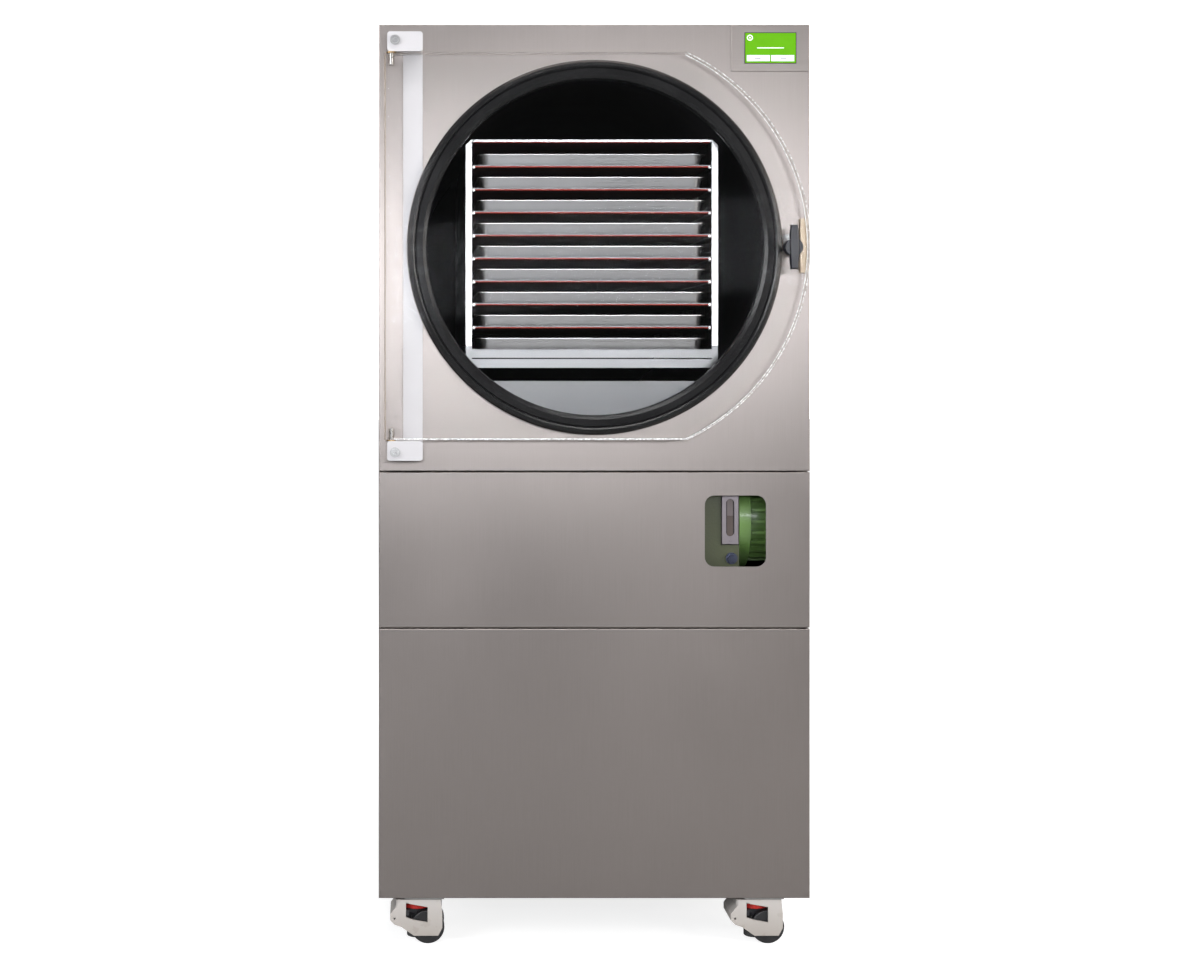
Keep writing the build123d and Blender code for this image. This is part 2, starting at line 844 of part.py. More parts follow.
def hose_low_z():
    return pump_bottom_z() + inlet_block_height + hose_stub_length


def hose_middle_y():
    return (hose_low_y() + port_y) / 2


def vacuum_hose():
    """From the chamber's port down to the pump's inlet, in one easy S."""
    low, high = hose_low_z(), port_end_z
    run = (high - low) / 3
    points = [
        (port_x, port_y, high),
        (port_x, port_y, high - run),
        (port_x, hose_low_y(), low + run),
        (port_x, hose_low_y(), low),
    ]
    return tube(points, hose_radius, hose_bend)


# --- refrigeration set ---
def compressor_y():
    return rear_y - compressor_from_rear


def compressor_top_z():
    return base_z + sheet + compressor_foot_height + compressor_plate + compressor_height


def compressor():
    """A hermetic can on a plate with four feet, and its suction and discharge stubs."""
    y = compressor_y()
    floor = base_z + sheet
    plate_z = (floor + compressor_foot_height, floor + compressor_foot_height + compressor_plate)
    can = rod_z(compressor_radius, (plate_z[1], compressor_top_z()), compressor_x, y)
    can = fillet(can.edges().filter_by(GeomType.CIRCLE).sort_by(Axis.Z)[-1], compressor_dome)
    half = compressor_plate_half
    can += block(about(compressor_x, 2 * half), about(y, 2 * half), plate_z)
    reach = half - compressor_foot_radius
    for place in GridLocations(2 * reach, 2 * reach, 2, 2):
        x_foot, y_foot = compressor_x + place.position.X, y + place.position.Y
        can += rod_z(compressor_foot_radius, (floor, plate_z[0]), x_foot, y_foot)
    for side in (-1, 1):
        stub = (compressor_top_z() - compressor_dome, compressor_top_z() + stub_length)
        can += rod_z(stub_radius, stub, compressor_x + side * stub_spread, y)
    return can


def condenser_spans():
    """The depths of the coil and of the shroud behind it."""
    back = rear_y - condenser_from_rear
    middle = back - shroud_depth
    return (middle - coil_depth, middle), (middle, back)


def condenser_coil():
    """The finned coil, the shroud with the fan's ring, and the bar that carries the fan's motor."""
    coil_y, shroud_y = condenser_spans()
    floor = base_z + sheet
    x, z = about(condenser_x, coil_width), (floor, floor + coil_height)
    coil = block(x, coil_y, z)
    groove_x = (x[0] + fin_pitch, x[1] - fin_pitch)
    groove_y = (coil_y[0], coil_y[0] + fin_groove_depth)
    for i in range(1, int(coil_height / fin_pitch)):
        coil -= block(groove_x, groove_y, about(floor + i * fin_pitch, fin_groove))
    shroud = pan(x, shroud_y, z, "-y")
    middle_z = sum(z) / 2
    shroud -= rod_y(shroud_hole_radius, (shroud_y[0], shroud_y[1] + sheet), condenser_x, middle_z)
    bar_y = (shroud_y[0], shroud_y[0] + fan_bar_thickness)
    motor_y = (bar_y[0], bar_y[1] + fan_motor_length)
    made = coil + shroud
    made += block((x[0] + sheet / 2, x[1] - sheet / 2), bar_y, about(middle_z, fan_bar_height))
    made += rod_y(fan_motor_radius, motor_y, condenser_x, middle_z)
    made += rod_y(fan_spindle_radius, (motor_y[1], shroud_y[1] - sheet), condenser_x, middle_z)
    stub = (x[1], x[1] + stub_length)
    return made + rod_x(stub_radius, stub, sum(coil_y) / 2, middle_z)


def fan_rotor():
    _, shroud_y = condenser_spans()
    z = base_z + sheet + coil_height / 2
    back = shroud_y[1] - sheet / 2
    hub_y = (back - fan_hub_length, back)
    rotor = rod_y(fan_hub_radius, hub_y, condenser_x, z)
    length = fan_tip_radius - fan_hub_radius / 2
    centre = Pos(condenser_x, sum(hub_y) / 2, z)
    limit = rod_y(fan_tip_radius, (hub_y[0], hub_y[1]), condenser_x, z)
    for i in range(fan_blade_count):
        blade = Box(length, fan_blade_thickness, fan_blade_chord)
        blade = Pos(fan_hub_radius / 2 + length / 2, 0, 0) * Rot(fan_blade_pitch, 0, 0) * blade
        rotor += (centre * Rot(0, 360 * i / fan_blade_count, 0) * blade) & limit
    return rotor - rod_y(fan_spindle_radius + fan_running_clearance, hub_y, condenser_x, z)


def refrigerant_lines():
    """The discharge line to the condenser, and the suction line down from the chamber."""
    y = compressor_y()
    start = compressor_top_z() + stub_length
    coil_y, _ = condenser_spans()
    coil_end = (condenser_x + coil_width / 2 + stub_length, sum(coil_y) / 2, base_z + sheet + coil_height / 2)
    discharge_x, suction_x = compressor_x - stub_spread, compressor_x + stub_spread
    drop_x = coil_end[0] + line_drop_lead
    over = start + 3 * line_bend
    discharge = [
        (discharge_x, y, start),
        (discharge_x, y, over),
        (drop_x, coil_end[1], over),
        (drop_x, coil_end[1], coil_end[2]),
        coil_end,
    ]
    riser_y = rear_y - service_gap * 0.6
    chamber_back = front_y + chamber_length + chamber_end_wall + line_stub_length
    stub_z = chamber_z - line_stub_drop
    suction = [
        (suction_x, y, start),
        (suction_x, y, start + 2 * line_bend),
        (suction_x, riser_y, start + 2 * line_bend),
        (suction_x, riser_y, stub_z),
        (suction_x, chamber_back, stub_z),
    ]
    return Compound([tube(points, line_radius, line_bend).solid() for points in (discharge, suction)])


# --- casters: the plate about the swivel axis, the rest about the housing's middle ---
def caster_places():
    """Each caster's name and the place of its swivel axis."""
    x = half_width - caster_inset_x
    front, rear = front_y + caster_inset_y, rear_y - caster_inset_y
    return {
        "front_left": (-x, front),
        "front_right": (x, front),
        "rear_left": (-x, rear),
        "rear_right": (x, rear),
    }


def housing_top_z():
    return base_z - plate_thickness - swivel_gap


def dial_span():
    top = housing_top_z() - housing_roof - dial_gap
    return (top - dial_thickness, top)


def caster_plate():
    plate = block(either_side(plate_half), either_side(plate_half), (base_z - plate_thickness, base_z))
    plate = fillet(plate.edges().filter_by(Axis.Z), housing_edge)
    under = base_z - plate_thickness
    return plate + rod_z(kingpin_radius, (under - kingpin_length, under))


def caster_housing():
    """A cast housing, open below and to one side, that holds the axle and guides the levelling screw."""
    top, w = housing_top_z(), housing_half_width
    points = [
        (-w, top),
        (-w, top - lobe_shoulder_drop),
        (-lobe_reach, top - lobe_top_drop),
        (-lobe_reach, top - lobe_bottom_drop),
        (-lobe_reach + lobe_root_width, top - lobe_root_drop),
        (-lobe_reach + lobe_heel_width, top - lobe_heel_drop),
        (skirt_left, skirt_lift),
        (w - skirt_inset, skirt_lift),
        (w + skirt_flare, wheel_radius),
        (w + skirt_flare, top - skirt_flare_drop),
        (w, top),
    ]
    body = along_y(make_face(Polyline(*points, close=True)), either_side(housing_half_depth))
    upright = body.edges().filter_by(Axis.Z).filter_by(lambda e: abs(abs(e.center().X) - w) < 1)
    body = fillet(upright, housing_edge)
    inner = housing_half_depth - housing_wall
    wall_x = -w + housing_wall
    body -= block((wall_x, 2 * w), either_side(inner), (0, top - housing_roof))
    web_top = dial_span()[0] - dial_gap
    web_z = (web_top - web_height, web_top)
    web = block((wall_x, stem_x + dial_hub_radius + housing_wall), either_side(web_half_depth), web_z)
    web += block((wall_x, wheel_x - wheel_radius - housing_wall), either_side(inner), web_z)
    body += web
    body -= rod_z(dial_hub_radius + running_clearance, web_z, stem_x)
    body -= rod_z(kingpin_radius + running_clearance, (top - housing_roof, top), -housing_x)
    body += rod_y(axle_radius, either_side(housing_half_depth), wheel_x, wheel_radius)
    return body - housing_window() - lobe_hole()


def housing_window():
    """The opening in the front wall through which the thumbwheel is turned."""
    top = housing_top_z()
    left, right = stem_x - dial_window_reach, stem_x + dial_window_reach
    points = [
        (left, top - dial_window_drop),
        (left + dial_window_corner, top - dial_window_drop - dial_window_corner / 2),
        (right, top - dial_window_drop - dial_window_slope),
        (right, top - dial_window_drop - dial_window_slope - dial_window_height),
        (left + 2 * dial_window_corner, top - dial_window_drop - dial_window_slope / 2 - dial_window_height),
        (left, top - dial_window_drop - dial_window_height),
    ]
    y = (-housing_half_depth, -housing_half_depth + housing_wall)
    return along_y(make_face(Polyline(*points, close=True)), y)


def lobe_hole():
    y = (-housing_half_depth, -housing_half_depth + 2 * housing_wall)
    return rod_y(housing_wall / 2, y, -lobe_reach + lobe_hole_inset, housing_top_z() - lobe_hole_drop)


def caster_wheel():
    inner = wheel_face - wheel_disc_width
    wheel = rod_y(wheel_hub_radius, either_side(inner), wheel_x, wheel_radius)
    for span in ((-wheel_face, -inner), (inner, wheel_face)):
        disc = rod_y(wheel_radius, span, wheel_x, wheel_radius)
        wheel += fillet(disc.edges().filter_by(GeomType.CIRCLE), wheel_edge)
    return wheel - rod_y(axle_radius + running_clearance, either_side(wheel_face), wheel_x, wheel_radius)


def caster_dial():
    """The thumbwheel: a disc and the nut below it, on the levelling screw."""
    z = dial_span()
    dial = rod_z(dial_radius, z, stem_x)
    dial = fillet(dial.edges().filter_by(GeomType.CIRCLE), wheel_edge / 2)
    dial += rod_z(dial_hub_radius, (z[0] - dial_hub_length, z[0]), stem_x)
    return dial - rod_z(stem_radius + running_clearance, (z[0] - dial_hub_length, z[1]), stem_x)


def caster_foot():
    """A round pad on the levelling screw, wound up clear of the floor."""
    pad_z = (foot_lift, foot_lift + foot_thickness)
    pad = rod_z(foot_radius, pad_z, stem_x)
    pad = fillet(pad.edges().filter_by(GeomType.CIRCLE), foot_edge)
    return pad + rod_z(stem_radius, (pad_z[1], dial_span()[1] - dial_gap), stem_x)


def all_parts():
    """Each node's name and its shape."""
    parts = {
        "base_pan": pan(
            either_side(half_width), (inner_front_y, inner_rear_y), (base_z, base_z + panel_fold), "+z"
        ),
        "side_panel_left": side_panel(-1),
        "side_panel_right": side_panel(1),
        "top_panel": pan(
            either_side(half_width), (inner_front_y, inner_rear_y), (top_z - panel_fold, top_z), "-z"
        ),
        "rear_panel": rear_panel(),
        "front_panel_upper": front_panel_upper(),
        "front_panel_middle": front_panel_middle(),
        "front_panel_lower": front_panel_lower(),
        "equipment_decks": equipment_decks(),
        "control_fascia": control_fascia(),
        "display_screen": display_screen(),
        "power_inlet": power_inlet(),
        "chamber_shell": chamber_shell(),
        "door_seal": door_seal(),
        "rack_frame": rack_frame(),
        "rack_shelves": rack_shelves(),
        "heater_mats": heater_mats(),
        "door_panel": door_panel(),
        "hinge_plate": hinge_plate(),
        "hinge_bolts": hinge_bolts(),
        "hinge_pins": hinge_pins(),
        "latch_handle": latch_handle(),
        "latch_tongue": latch_tongue(),
        "latch_keeper": latch_keeper(),
        "pump_casing": pump_casing(),
        "pump_motor": pump_motor(),
        "sight_frame": sight_frame(),
        "sight_glass": sight_glass(),
        "oil_drain_plug": oil_drain_plug(),
        "vacuum_hose": vacuum_hose(),
        "compressor": compressor(),
        "condenser_coil": condenser_coil(),
        "fan_rotor": fan_rotor(),
        "refrigerant_lines": refrigerant_lines(),
    }
    for number, top in enumerate(shelf_tops, 1):
        parts[f"tray_{number}"] = tray(top)
    makers = {
        "caster_housing": caster_housing(),
        "caster_wheel": caster_wheel(),
        "caster_dial": caster_dial(),
        "caster_foot": caster_foot(),
    }
    plates = []
    for corner, (x, y) in caster_places().items():
        plates.append((Pos(x, y, 0) * caster_plate()).solid())
        for name, shape in makers.items():
            parts[f"{name}_{corner}"] = Pos(x + housing_x, y, 0) * shape
    parts["caster_plates"] = Compound(plates)
    return parts


os.makedirs("parts", exist_ok=True)
for name, shape in all_parts().items():
    export_step(shape, f"parts/{name}.step")
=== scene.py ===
"""Finishes, small fittings, stage and camera for a laboratory freeze dryer.

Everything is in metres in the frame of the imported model: +Z up, the front faces -Y, the floor is z = 0.
"""

import math

import bpy
from bpy.props import FloatProperty, FloatVectorProperty, IntProperty, PointerProperty
from mathutils import Euler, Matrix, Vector


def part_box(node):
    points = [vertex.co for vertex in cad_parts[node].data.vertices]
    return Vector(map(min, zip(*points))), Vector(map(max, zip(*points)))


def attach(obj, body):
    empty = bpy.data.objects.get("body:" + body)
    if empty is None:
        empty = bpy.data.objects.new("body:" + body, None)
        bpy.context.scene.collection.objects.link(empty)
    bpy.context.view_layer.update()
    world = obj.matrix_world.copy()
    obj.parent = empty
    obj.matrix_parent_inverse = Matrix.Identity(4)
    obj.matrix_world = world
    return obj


bl_info = {
    "name": "Freeze dryer looks",
    "version": (1, 0, 0),
    "blender": (4, 5, 0),
    "location": "3D View > Sidebar > Freeze dryer",
    "description": "Finishes and small fittings for a laboratory freeze dryer",
    "category": "Object",
}

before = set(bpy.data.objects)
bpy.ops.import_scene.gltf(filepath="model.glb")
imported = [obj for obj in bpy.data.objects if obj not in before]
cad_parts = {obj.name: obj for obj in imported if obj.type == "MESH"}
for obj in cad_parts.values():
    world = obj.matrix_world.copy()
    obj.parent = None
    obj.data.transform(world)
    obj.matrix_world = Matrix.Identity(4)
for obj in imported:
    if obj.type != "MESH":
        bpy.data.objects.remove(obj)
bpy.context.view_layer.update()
MM = 0.001
CORNERS = ("front_left", "front_right", "rear_left", "rear_right")

# Places read from the frame once, for masks and for fittings.
SEAL_LOW, SEAL_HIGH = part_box("door_seal")
DOOR_LOW, DOOR_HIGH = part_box("door_panel")
SCREEN_LOW, SCREEN_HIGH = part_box("display_screen")
RACK_LOW, RACK_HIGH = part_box("rack_frame")
REAR_LOW, REAR_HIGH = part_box("rear_panel")
INLET_LOW, INLET_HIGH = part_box("power_inlet")
CONDENSER_LOW, CONDENSER_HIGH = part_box("condenser_coil")
SIGHT_LOW, SIGHT_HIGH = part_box("sight_glass")
MATS_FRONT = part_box("heater_mats")[0].y
RIM_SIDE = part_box("chamber_shell")[1].x
FRONT_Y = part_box("front_panel_upper")[0].y
AXIS = (SEAL_LOW + SEAL_HIGH) / 2
PIVOT = Vector((DOOR_LOW.x + (DOOR_HIGH.y - DOOR_LOW.y) / 2, (DOOR_LOW.y + DOOR_HIGH.y) / 2, AXIS.z))

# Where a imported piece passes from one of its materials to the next, just clear of the step there.
RIM_REACH = 8 * MM
MOUTH_DEPTH = 7 * MM
COPPER_REACH = 2.8 * MM
COPPER_START = 50 * MM
PLATE_REACH = 40 * MM
MAT_RED_EDGE = 3 * MM
DISPLAY_DEPTH = 0.4 * MM
PIN_REACH = 4.6 * MM
FINS_DEPTH = 50 * MM
HUB_REACH = 16 * MM
SCREW_REACH = 5.4 * MM
PAD_REACH = 12.5 * MM
BLADE_SPACING = 12 * MM
BLADE_HALF_WIDTH = 1.3 * MM
BLADE_HALF_HEIGHT = 6.2 * MM
BLADE_TIP_DEPTH = 3 * MM
BLADE_ROOT_DEPTH = 17.6 * MM

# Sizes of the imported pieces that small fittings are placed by.
CONDENSER_WIDTH = 360 * MM
DIAL_DISC = 11 * MM
VENT_COUNT = 14
VENT_PITCH = 24 * MM
VENT_LENGTH = 300 * MM


# --- sizes and colours that a user would change ---
def colour(name, description, default):
    """A colour with a picker in the sidebar."""
    return FloatVectorProperty(
        name=name, description=description, default=default, subtype="COLOR", size=3, min=0, max=1
    )


def length(name, description, default):
    """A length in metres, shown in the scene's own unit."""
    return FloatProperty(name=name, description=description, default=default, unit="LENGTH", min=0)


class SteelLook(bpy.types.PropertyGroup):
    sheet: colour("Sheet steel", "Colour of the brushed cabinet panels", (0.300, 0.268, 0.252))
    bright: colour("Bright steel", "Colour of the rack, trays and chamber", (0.64, 0.635, 0.64))
    zinc: colour("Zinc", "Colour of the coated decks and base", (0.56, 0.57, 0.58))
    bolt: colour("Bolts", "Colour of the hinge bolts, latch tongue and caster plates", (0.42, 0.415, 0.41))
    screw: colour("Screws", "Colour of the rear panel's screws", (0.60, 0.60, 0.59))
    grain: length("Grain", "Width of one brush mark", 1.1 * MM)


class ScreenLook(bpy.types.PropertyGroup):
    field: colour("Field", "Colour of the lit display", (0.092, 0.320, 0.0))
    key: colour("Keys", "Colour of the two soft keys", (0.72, 0.75, 0.80))
    margin: length("Margin", "Distance of the soft keys from the display's edge", 4.0 * MM)
    key_height: length("Key height", "Height of the soft keys", 10.8 * MM)
    key_gap: length("Key gap", "Gap between the soft keys", 2.4 * MM)
    icon_radius: length("Icon radius", "Radius of the round icon", 5.4 * MM)


class ChamberLook(bpy.types.PropertyGroup):
    rubber: colour("Seal", "Colour of the door seal", (0.008, 0.008, 0.0085))
    lining: colour("Lining", "Colour of the chamber's inside", (0.0070, 0.0063, 0.0076))
    heater: colour("Heater mats", "Colour of the silicone heater mats", (0.50, 0.030, 0.012))
    tab_width: length("Tab width", "Width of the shelf tabs", 5.0 * MM)
    tab_inset: length("Tab inset", "Distance of the shelf tabs from the rack's sides", 12.0 * MM)


class DoorLook(bpy.types.PropertyGroup):
    acrylic: colour("Acrylic", "Tint of the clear door", (0.86, 0.91, 0.92))
    # The door's side wall is painted this tan as the shadow its edge casts on the panel: painted shadow.
    edge_shadow_tan: colour("Cut edge", "Colour that the door's side wall picks up", (0.47, 0.385, 0.30))
    hinge: colour("Hinge paint", "Colour of the hinge plate", (0.50, 0.49, 0.505))
    pin: colour("Pivot pins", "Colour of the pivot pins", (0.34, 0.33, 0.32))
    collar: colour("Collars", "Colour of the brass collars round the pivot pins", (0.42, 0.27, 0.11))
    handle: colour("Handle", "Colour of the latch handle", (0.006, 0.006, 0.010))
    # The keeper is coloured in the tan of the latch's shadow on the panel: painted shadow on a stainless
    # strip.
    keeper: colour("Keeper", "Colour of the strip that the latch catches", (0.40, 0.325, 0.245))
    edge_radius: length("Edge radius", "Radius of the door's polished edge", 0.9 * MM)


class PumpLook(bpy.types.PropertyGroup):
    casing: colour("Oil box", "Colour of the pump's oil box", (0.055, 0.064, 0.026))
    motor: colour("Motor", "Colour of the pump's motor", (0.115, 0.215, 0.055))
    oil: colour("Oil", "Colour of the oil behind the sight glass", (0.105, 0.085, 0.080))
    bezel: colour("Bezel", "Colour of the cast bezel", (0.270, 0.242, 0.258))
    plug: colour("Drain plug", "Colour of the oil drain plug", (0.085, 0.095, 0.140))


class CoolingLook(bpy.types.PropertyGroup):
    enamel: colour("Compressor", "Colour of the compressor's enamel", (0.012, 0.012, 0.013))
    fan: colour("Fan", "Colour of the fan rotor", (0.020, 0.020, 0.021))
    copper: colour("Copper", "Colour of clean copper tube", (0.78, 0.40, 0.25))
    browned: colour("Browned copper", "Colour of copper where it was brazed", (0.40, 0.19, 0.10))
    shroud: colour("Shroud", "Colour of the condenser's shroud", (0.015, 0.015, 0.016))
    fin_pitch: length("Fin pitch", "Distance from one condenser fin to the next", 2.0 * MM)


class CasterLook(bpy.types.PropertyGroup):
    enamel: colour("Enamel", "Colour of the caster housings", (0.45, 0.425, 0.405))
    dial: colour("Thumbwheel", "Colour of the levelling thumbwheel", (0.52, 0.022, 0.016))
    wheel: colour("Wheels", "Colour of the nylon wheels", (0.012, 0.012, 0.013))
    wall: length("Wall", "Thickness of the cast housing's wall", 4.0 * MM)
    lobe: length("Lobe", "How far the housing's lobe stands out from its side wall", 10.5 * MM)
    rib_radius: length("Rib radius", "Radius of one rib on the thumbwheel", 0.9 * MM)
    rib_count: IntProperty(name="Ribs", description="Ribs round the thumbwheel", default=36, min=6)
    thread: length("Thread", "Pitch of the levelling screw's thread", 2.0 * MM)


class RearLook(bpy.types.PropertyGroup):
    screw_radius: length("Screw radius", "Radius of the rear panel's screw heads", 3.6 * MM)
    screw_height: length("Screw height", "Height of the rear panel's screw heads", 1.8 * MM)
    screw_inset: length("Screw inset", "Distance of the screws from the rear panel's edge", 14.0 * MM)
    screw_rows: IntProperty(name="Screw rows", description="Screws up each side", default=7, min=2)
    bead_reach: length("Bead reach", "How far the beads over the vents stand out", 2.4 * MM)
    bead_rise: length("Bead rise", "Height of each bead above the middle of its slot", 8.0 * MM)


class StageLook(bpy.types.PropertyGroup):
    floor: colour("Floor", "Colour of the floor", (0.34, 0.34, 0.34))
    distance: length("Distance", "How far the camera stands from the front panel", 3.3)
    side: length("Side", "How far the camera stands left of the middle", 0.32)
    height: length("Height", "Height of the camera", 1.05)
    span: length("Span", "Width that the view takes in at the front panel", 2.16)
    middle_x: length("Middle X", "What the middle of the view falls on, to the right", 0.0103)
    middle_z: length("Middle Z", "What the middle of the view falls on, above the floor", 0.8325)


LOOKS = {
    "dryer_steel": SteelLook,
    "dryer_screen": ScreenLook,
    "dryer_chamber": ChamberLook,
    "dryer_door": DoorLook,
    "dryer_pump": PumpLook,
    "dryer_cooling": CoolingLook,
    "dryer_casters": CasterLook,
    "dryer_rear": RearLook,
    "dryer_stage": StageLook,
}


# --- node trees ---
class Value:
    """A node's output that sums can be written with."""

    def __init__(self, tree, socket):
        self.tree, self.socket = tree, socket

    def maths(self, operation, first, second=0.0):
        """What a Math node makes of one or two values."""
        return self.tree.node("ShaderNodeMath", {"operation": operation}, {0: first, 1: second})

    def __add__(self, other):
        return self.maths("ADD", self, other)

    def __sub__(self, other):
        return self.maths("SUBTRACT", self, other)

    def __rsub__(self, other):
        return self.maths("SUBTRACT", other, self)

    def __mul__(self, other):
        return self.maths("MULTIPLY", self, other)

    def __truediv__(self, other):
        return self.maths("DIVIDE", self, other)

    def __pow__(self, other):
        return self.maths("POWER", self, other)

    def __lt__(self, other):
        return self.maths("LESS_THAN", self, other)

    def __gt__(self, other):
        return self.maths("GREATER_THAN", self, other)

    def __abs__(self):
        return self.maths("ABSOLUTE", self)

    __radd__ = __add__
    __rmul__ = __mul__

    def root(self):
        return self.maths("SQRT", self)

    def wave(self, pitch):
        """A sine that repeats once in each pitch."""
        return self.maths("SINE", self * (math.tau / pitch))

    def between(self, low, high):
        """One from low to high, and nought elsewhere."""
        return (self > low) * (self < high)


class Tree:
    """A node tree, with one way to add any node."""

    def __init__(self, tree):
        self.tree = tree

    def node(self, kind, settings=None, sockets=None, output=0):
        """Adds a node, sets it up, feeds its sockets and gives one of its outputs."""
        made = self.tree.nodes.new(kind)
        for name, value in (settings or {}).items():
            setattr(made, name, value)
        for name, value in (sockets or {}).items():
            self.feed(made.inputs[name], value)
        return Value(self, made.outputs[output])

    def feed(self, socket, value):
        """Links a value to a socket, or sets the socket to a constant."""
        if isinstance(value, Value):
            self.tree.links.new(value.socket, socket)
        else:
            socket.default_value = value


class Finish(Tree):
    """A material: a Principled shader and what varies over it."""

    def __init__(self, name, **constants):
        self.material = bpy.data.materials.new(name)
        self.material.use_nodes = True
        super().__init__(self.material.node_tree)
        self.shader = self.tree.nodes["Principled BSDF"]
        for word, value in constants.items():
            self.give(word.replace("_", " ").title().replace("Ior", "IOR"), value)

    def give(self, socket, value):
        """Feeds one socket of the shader."""
        if isinstance(value, (tuple, list)) or hasattr(value, "copy"):
            value = (*value, 1.0) if len(value) == 3 else tuple(value)
        self.feed(self.shader.inputs[socket], value)

    def place(self):
        """Where a point of the surface is, in metres."""
        return self.node("ShaderNodeTexCoord", output="Object")

    def axes(self):
        """The object's own x, y and z."""
        apart = self.node("ShaderNodeSeparateXYZ", None, {0: self.place()})
        return [Value(self, socket) for socket in apart.socket.node.outputs]

    def stretched(self, per_metre):
        """The place, stretched by one number or by one for each axis."""
        factors = per_metre if hasattr(per_metre, "__len__") else (per_metre,) * 3
        return self.node("ShaderNodeVectorMath", {"operation": "MULTIPLY"}, {0: self.place(), 1: factors})

    def noise(self, per_metre, detail=3.0):
        """Soft noise with so many grains to the metre, the same all ways or along each axis."""
        sockets = {"Vector": self.stretched(per_metre), "Scale": 1.0, "Detail": detail}
        return self.node("ShaderNodeTexNoise", None, sockets)

    def cells(self, per_metre):
        """A random number for each of the cells that fill space."""
        sockets = {"Vector": self.stretched(per_metre), "Scale": 1.0}
        colours = self.node("ShaderNodeTexVoronoi", {"feature": "F1"}, sockets, "Color")
        return self.node("ShaderNodeSeparateXYZ", None, {0: colours})

    def ramp(self, value, start, end):
        """Nought at the start, one at the end and straight between."""
        return self.node("ShaderNodeMapRange", None, {0: value, 1: start, 2: end, 3: 0.0, 4: 1.0})

    def mix(self, mask, low, high):
        """One colour where the mask is nought, the other where it is one."""
        low, high = [c if isinstance(c, Value) else (*tuple(c)[:3], 1.0) for c in (low, high)]
        settings = {"data_type": "RGBA"}
        return self.node("ShaderNodeMix", settings, {0: mask, 6: low, 7: high}, 2)

    def relief(self, height, distance):
        """Raises the surface, in looks only, by up to the distance."""
        sockets = {"Height": height, "Distance": distance, "Strength": 1.0}
        self.give("Normal", self.node("ShaderNodeBump", None, sockets))


def scaled(base, factor):
    """A colour made darker or lighter."""
    return tuple(min(1.0, channel * factor) for channel in tuple(base)[:3])


def away(across, along):
    """Distance from the place where both are nought."""
    return (across**2 + along**2).root()


# --- finishes ---
def brushed(name, base, grain, along, roughness, contrast=0.10, relief=0.00001):
    """Steel brushed along one axis: long fine streaks, and slow smudges where hands and cloths went."""
    finish = Finish(name, metallic=1.0)
    streak_length = 90 * grain
    stretch = [1 / streak_length if axis == along else 1 / grain for axis in "xyz"]
    streak = finish.noise(stretch, 4.0)
    smudge = finish.noise((2.3, 2.3, 1.7), 5.0)
    tone = streak * 0.7 + smudge * 0.3
    finish.give("Base Color", finish.mix(tone, scaled(base, 1 - contrast), scaled(base, 1 + contrast)))
    finish.give("Roughness", roughness + (streak - 0.5) * 0.12 + (smudge - 0.5) * 0.16)
    finish.relief(streak, relief)
    return finish.material


def rack_steel(base):
    """The rack's bright posts, and the duller, darker plate along its foot with its grain running across;
    its darker colour is painted shade.
    """
    finish = Finish("rack_steel", metallic=1.0)
    _, _, z = finish.axes()
    plate = z < RACK_LOW.z + PLATE_REACH
    posts = finish.noise((1400, 1400, 16), 4.0)
    across = finish.noise((4, 60, 900))
    streak = posts + (across - posts) * plate
    # The foot plate's darker colour is painted shade that keeps the front lamp's light down on it.
    finish.give("Base Color", finish.mix(plate, scaled(base, 0.8), scaled(base, 0.36)))
    finish.give("Roughness", 0.20 + streak * 0.12 + plate * 0.08)
    finish.relief(streak * (1.0 - plate), 0.00001)
    return finish.material


def zinc_sheet(base):
    """Zinc-coated sheet, with its spangle."""
    finish = Finish("zinc_sheet", metallic=1.0)
    spangle = finish.cells(55.0)
    dull = finish.noise(9)
    finish.give("Base Color", finish.mix(spangle * 0.6 + dull * 0.4, scaled(base, 0.82), scaled(base, 1.1)))
    finish.give("Roughness", 0.34 + spangle * 0.18)
    finish.relief(dull, 0.00006)
    return finish.material


def turned_steel(base):
    """Plated fasteners, with fine turning marks and a little tarnish."""
    finish = Finish("turned_steel", metallic=1.0)
    tarnish = finish.noise(210, 4.0)
    marks = finish.noise((2600, 300, 2600), 2.0)
    finish.give("Base Color", finish.mix(tarnish, scaled(base, 0.70), scaled(base, 1.1)))
    finish.give("Roughness", 0.22 + tarnish * 0.18)
    finish.relief(marks, 0.00001)
    return finish.material


def pivot_steel(base, collar):
    """The door's pivot pins, of steel, with brass collars."""
    finish = Finish("pivot_steel", metallic=1.0)
    x, y, _ = finish.axes()
    brass = away(x - PIVOT.x, y - PIVOT.y) > PIN_REACH
    wear = finish.noise(260)
    steel = finish.mix(wear, scaled(base, 0.8), scaled(base, 1.1))
    finish.give("Base Color", finish.mix(brass, steel, collar))
    finish.give("Roughness", 0.2 + wear * 0.18)
    finish.relief(wear, 0.00002)
    return finish.material


def enamel(name, base, roughness, cast_grain, cast_height, wear_tint):
    """Paint on metal: the surface under it shows through, and dust and handling dull it in places."""
    finish = Finish(name, coat_weight=0.25, coat_roughness=0.12)
    lumps = finish.noise(cast_grain)
    cloud = finish.noise(14, 5.0)
    finish.give("Base Color", finish.mix(cloud * 0.6 + lumps * 0.25, scaled(base, 1.12), wear_tint))
    finish.give("Roughness", roughness + (cloud - 0.5) * 0.2)
    finish.relief(lumps, cast_height)
    return finish.material


def moulded(name, base, roughness, grain=1400, depth=0.00003):
    """Moulded plastic with a fine spark-eroded texture."""
    finish = Finish(name)
    sparks = finish.noise(grain, 2.0)
    cloud = finish.noise(25, 4.0)
    finish.give("Base Color", finish.mix(cloud, scaled(base, 0.8), scaled(base, 1.5)))
    finish.give("Roughness", roughness + (cloud - 0.5) * 0.18)
    finish.relief(sparks, depth)
    return finish.material


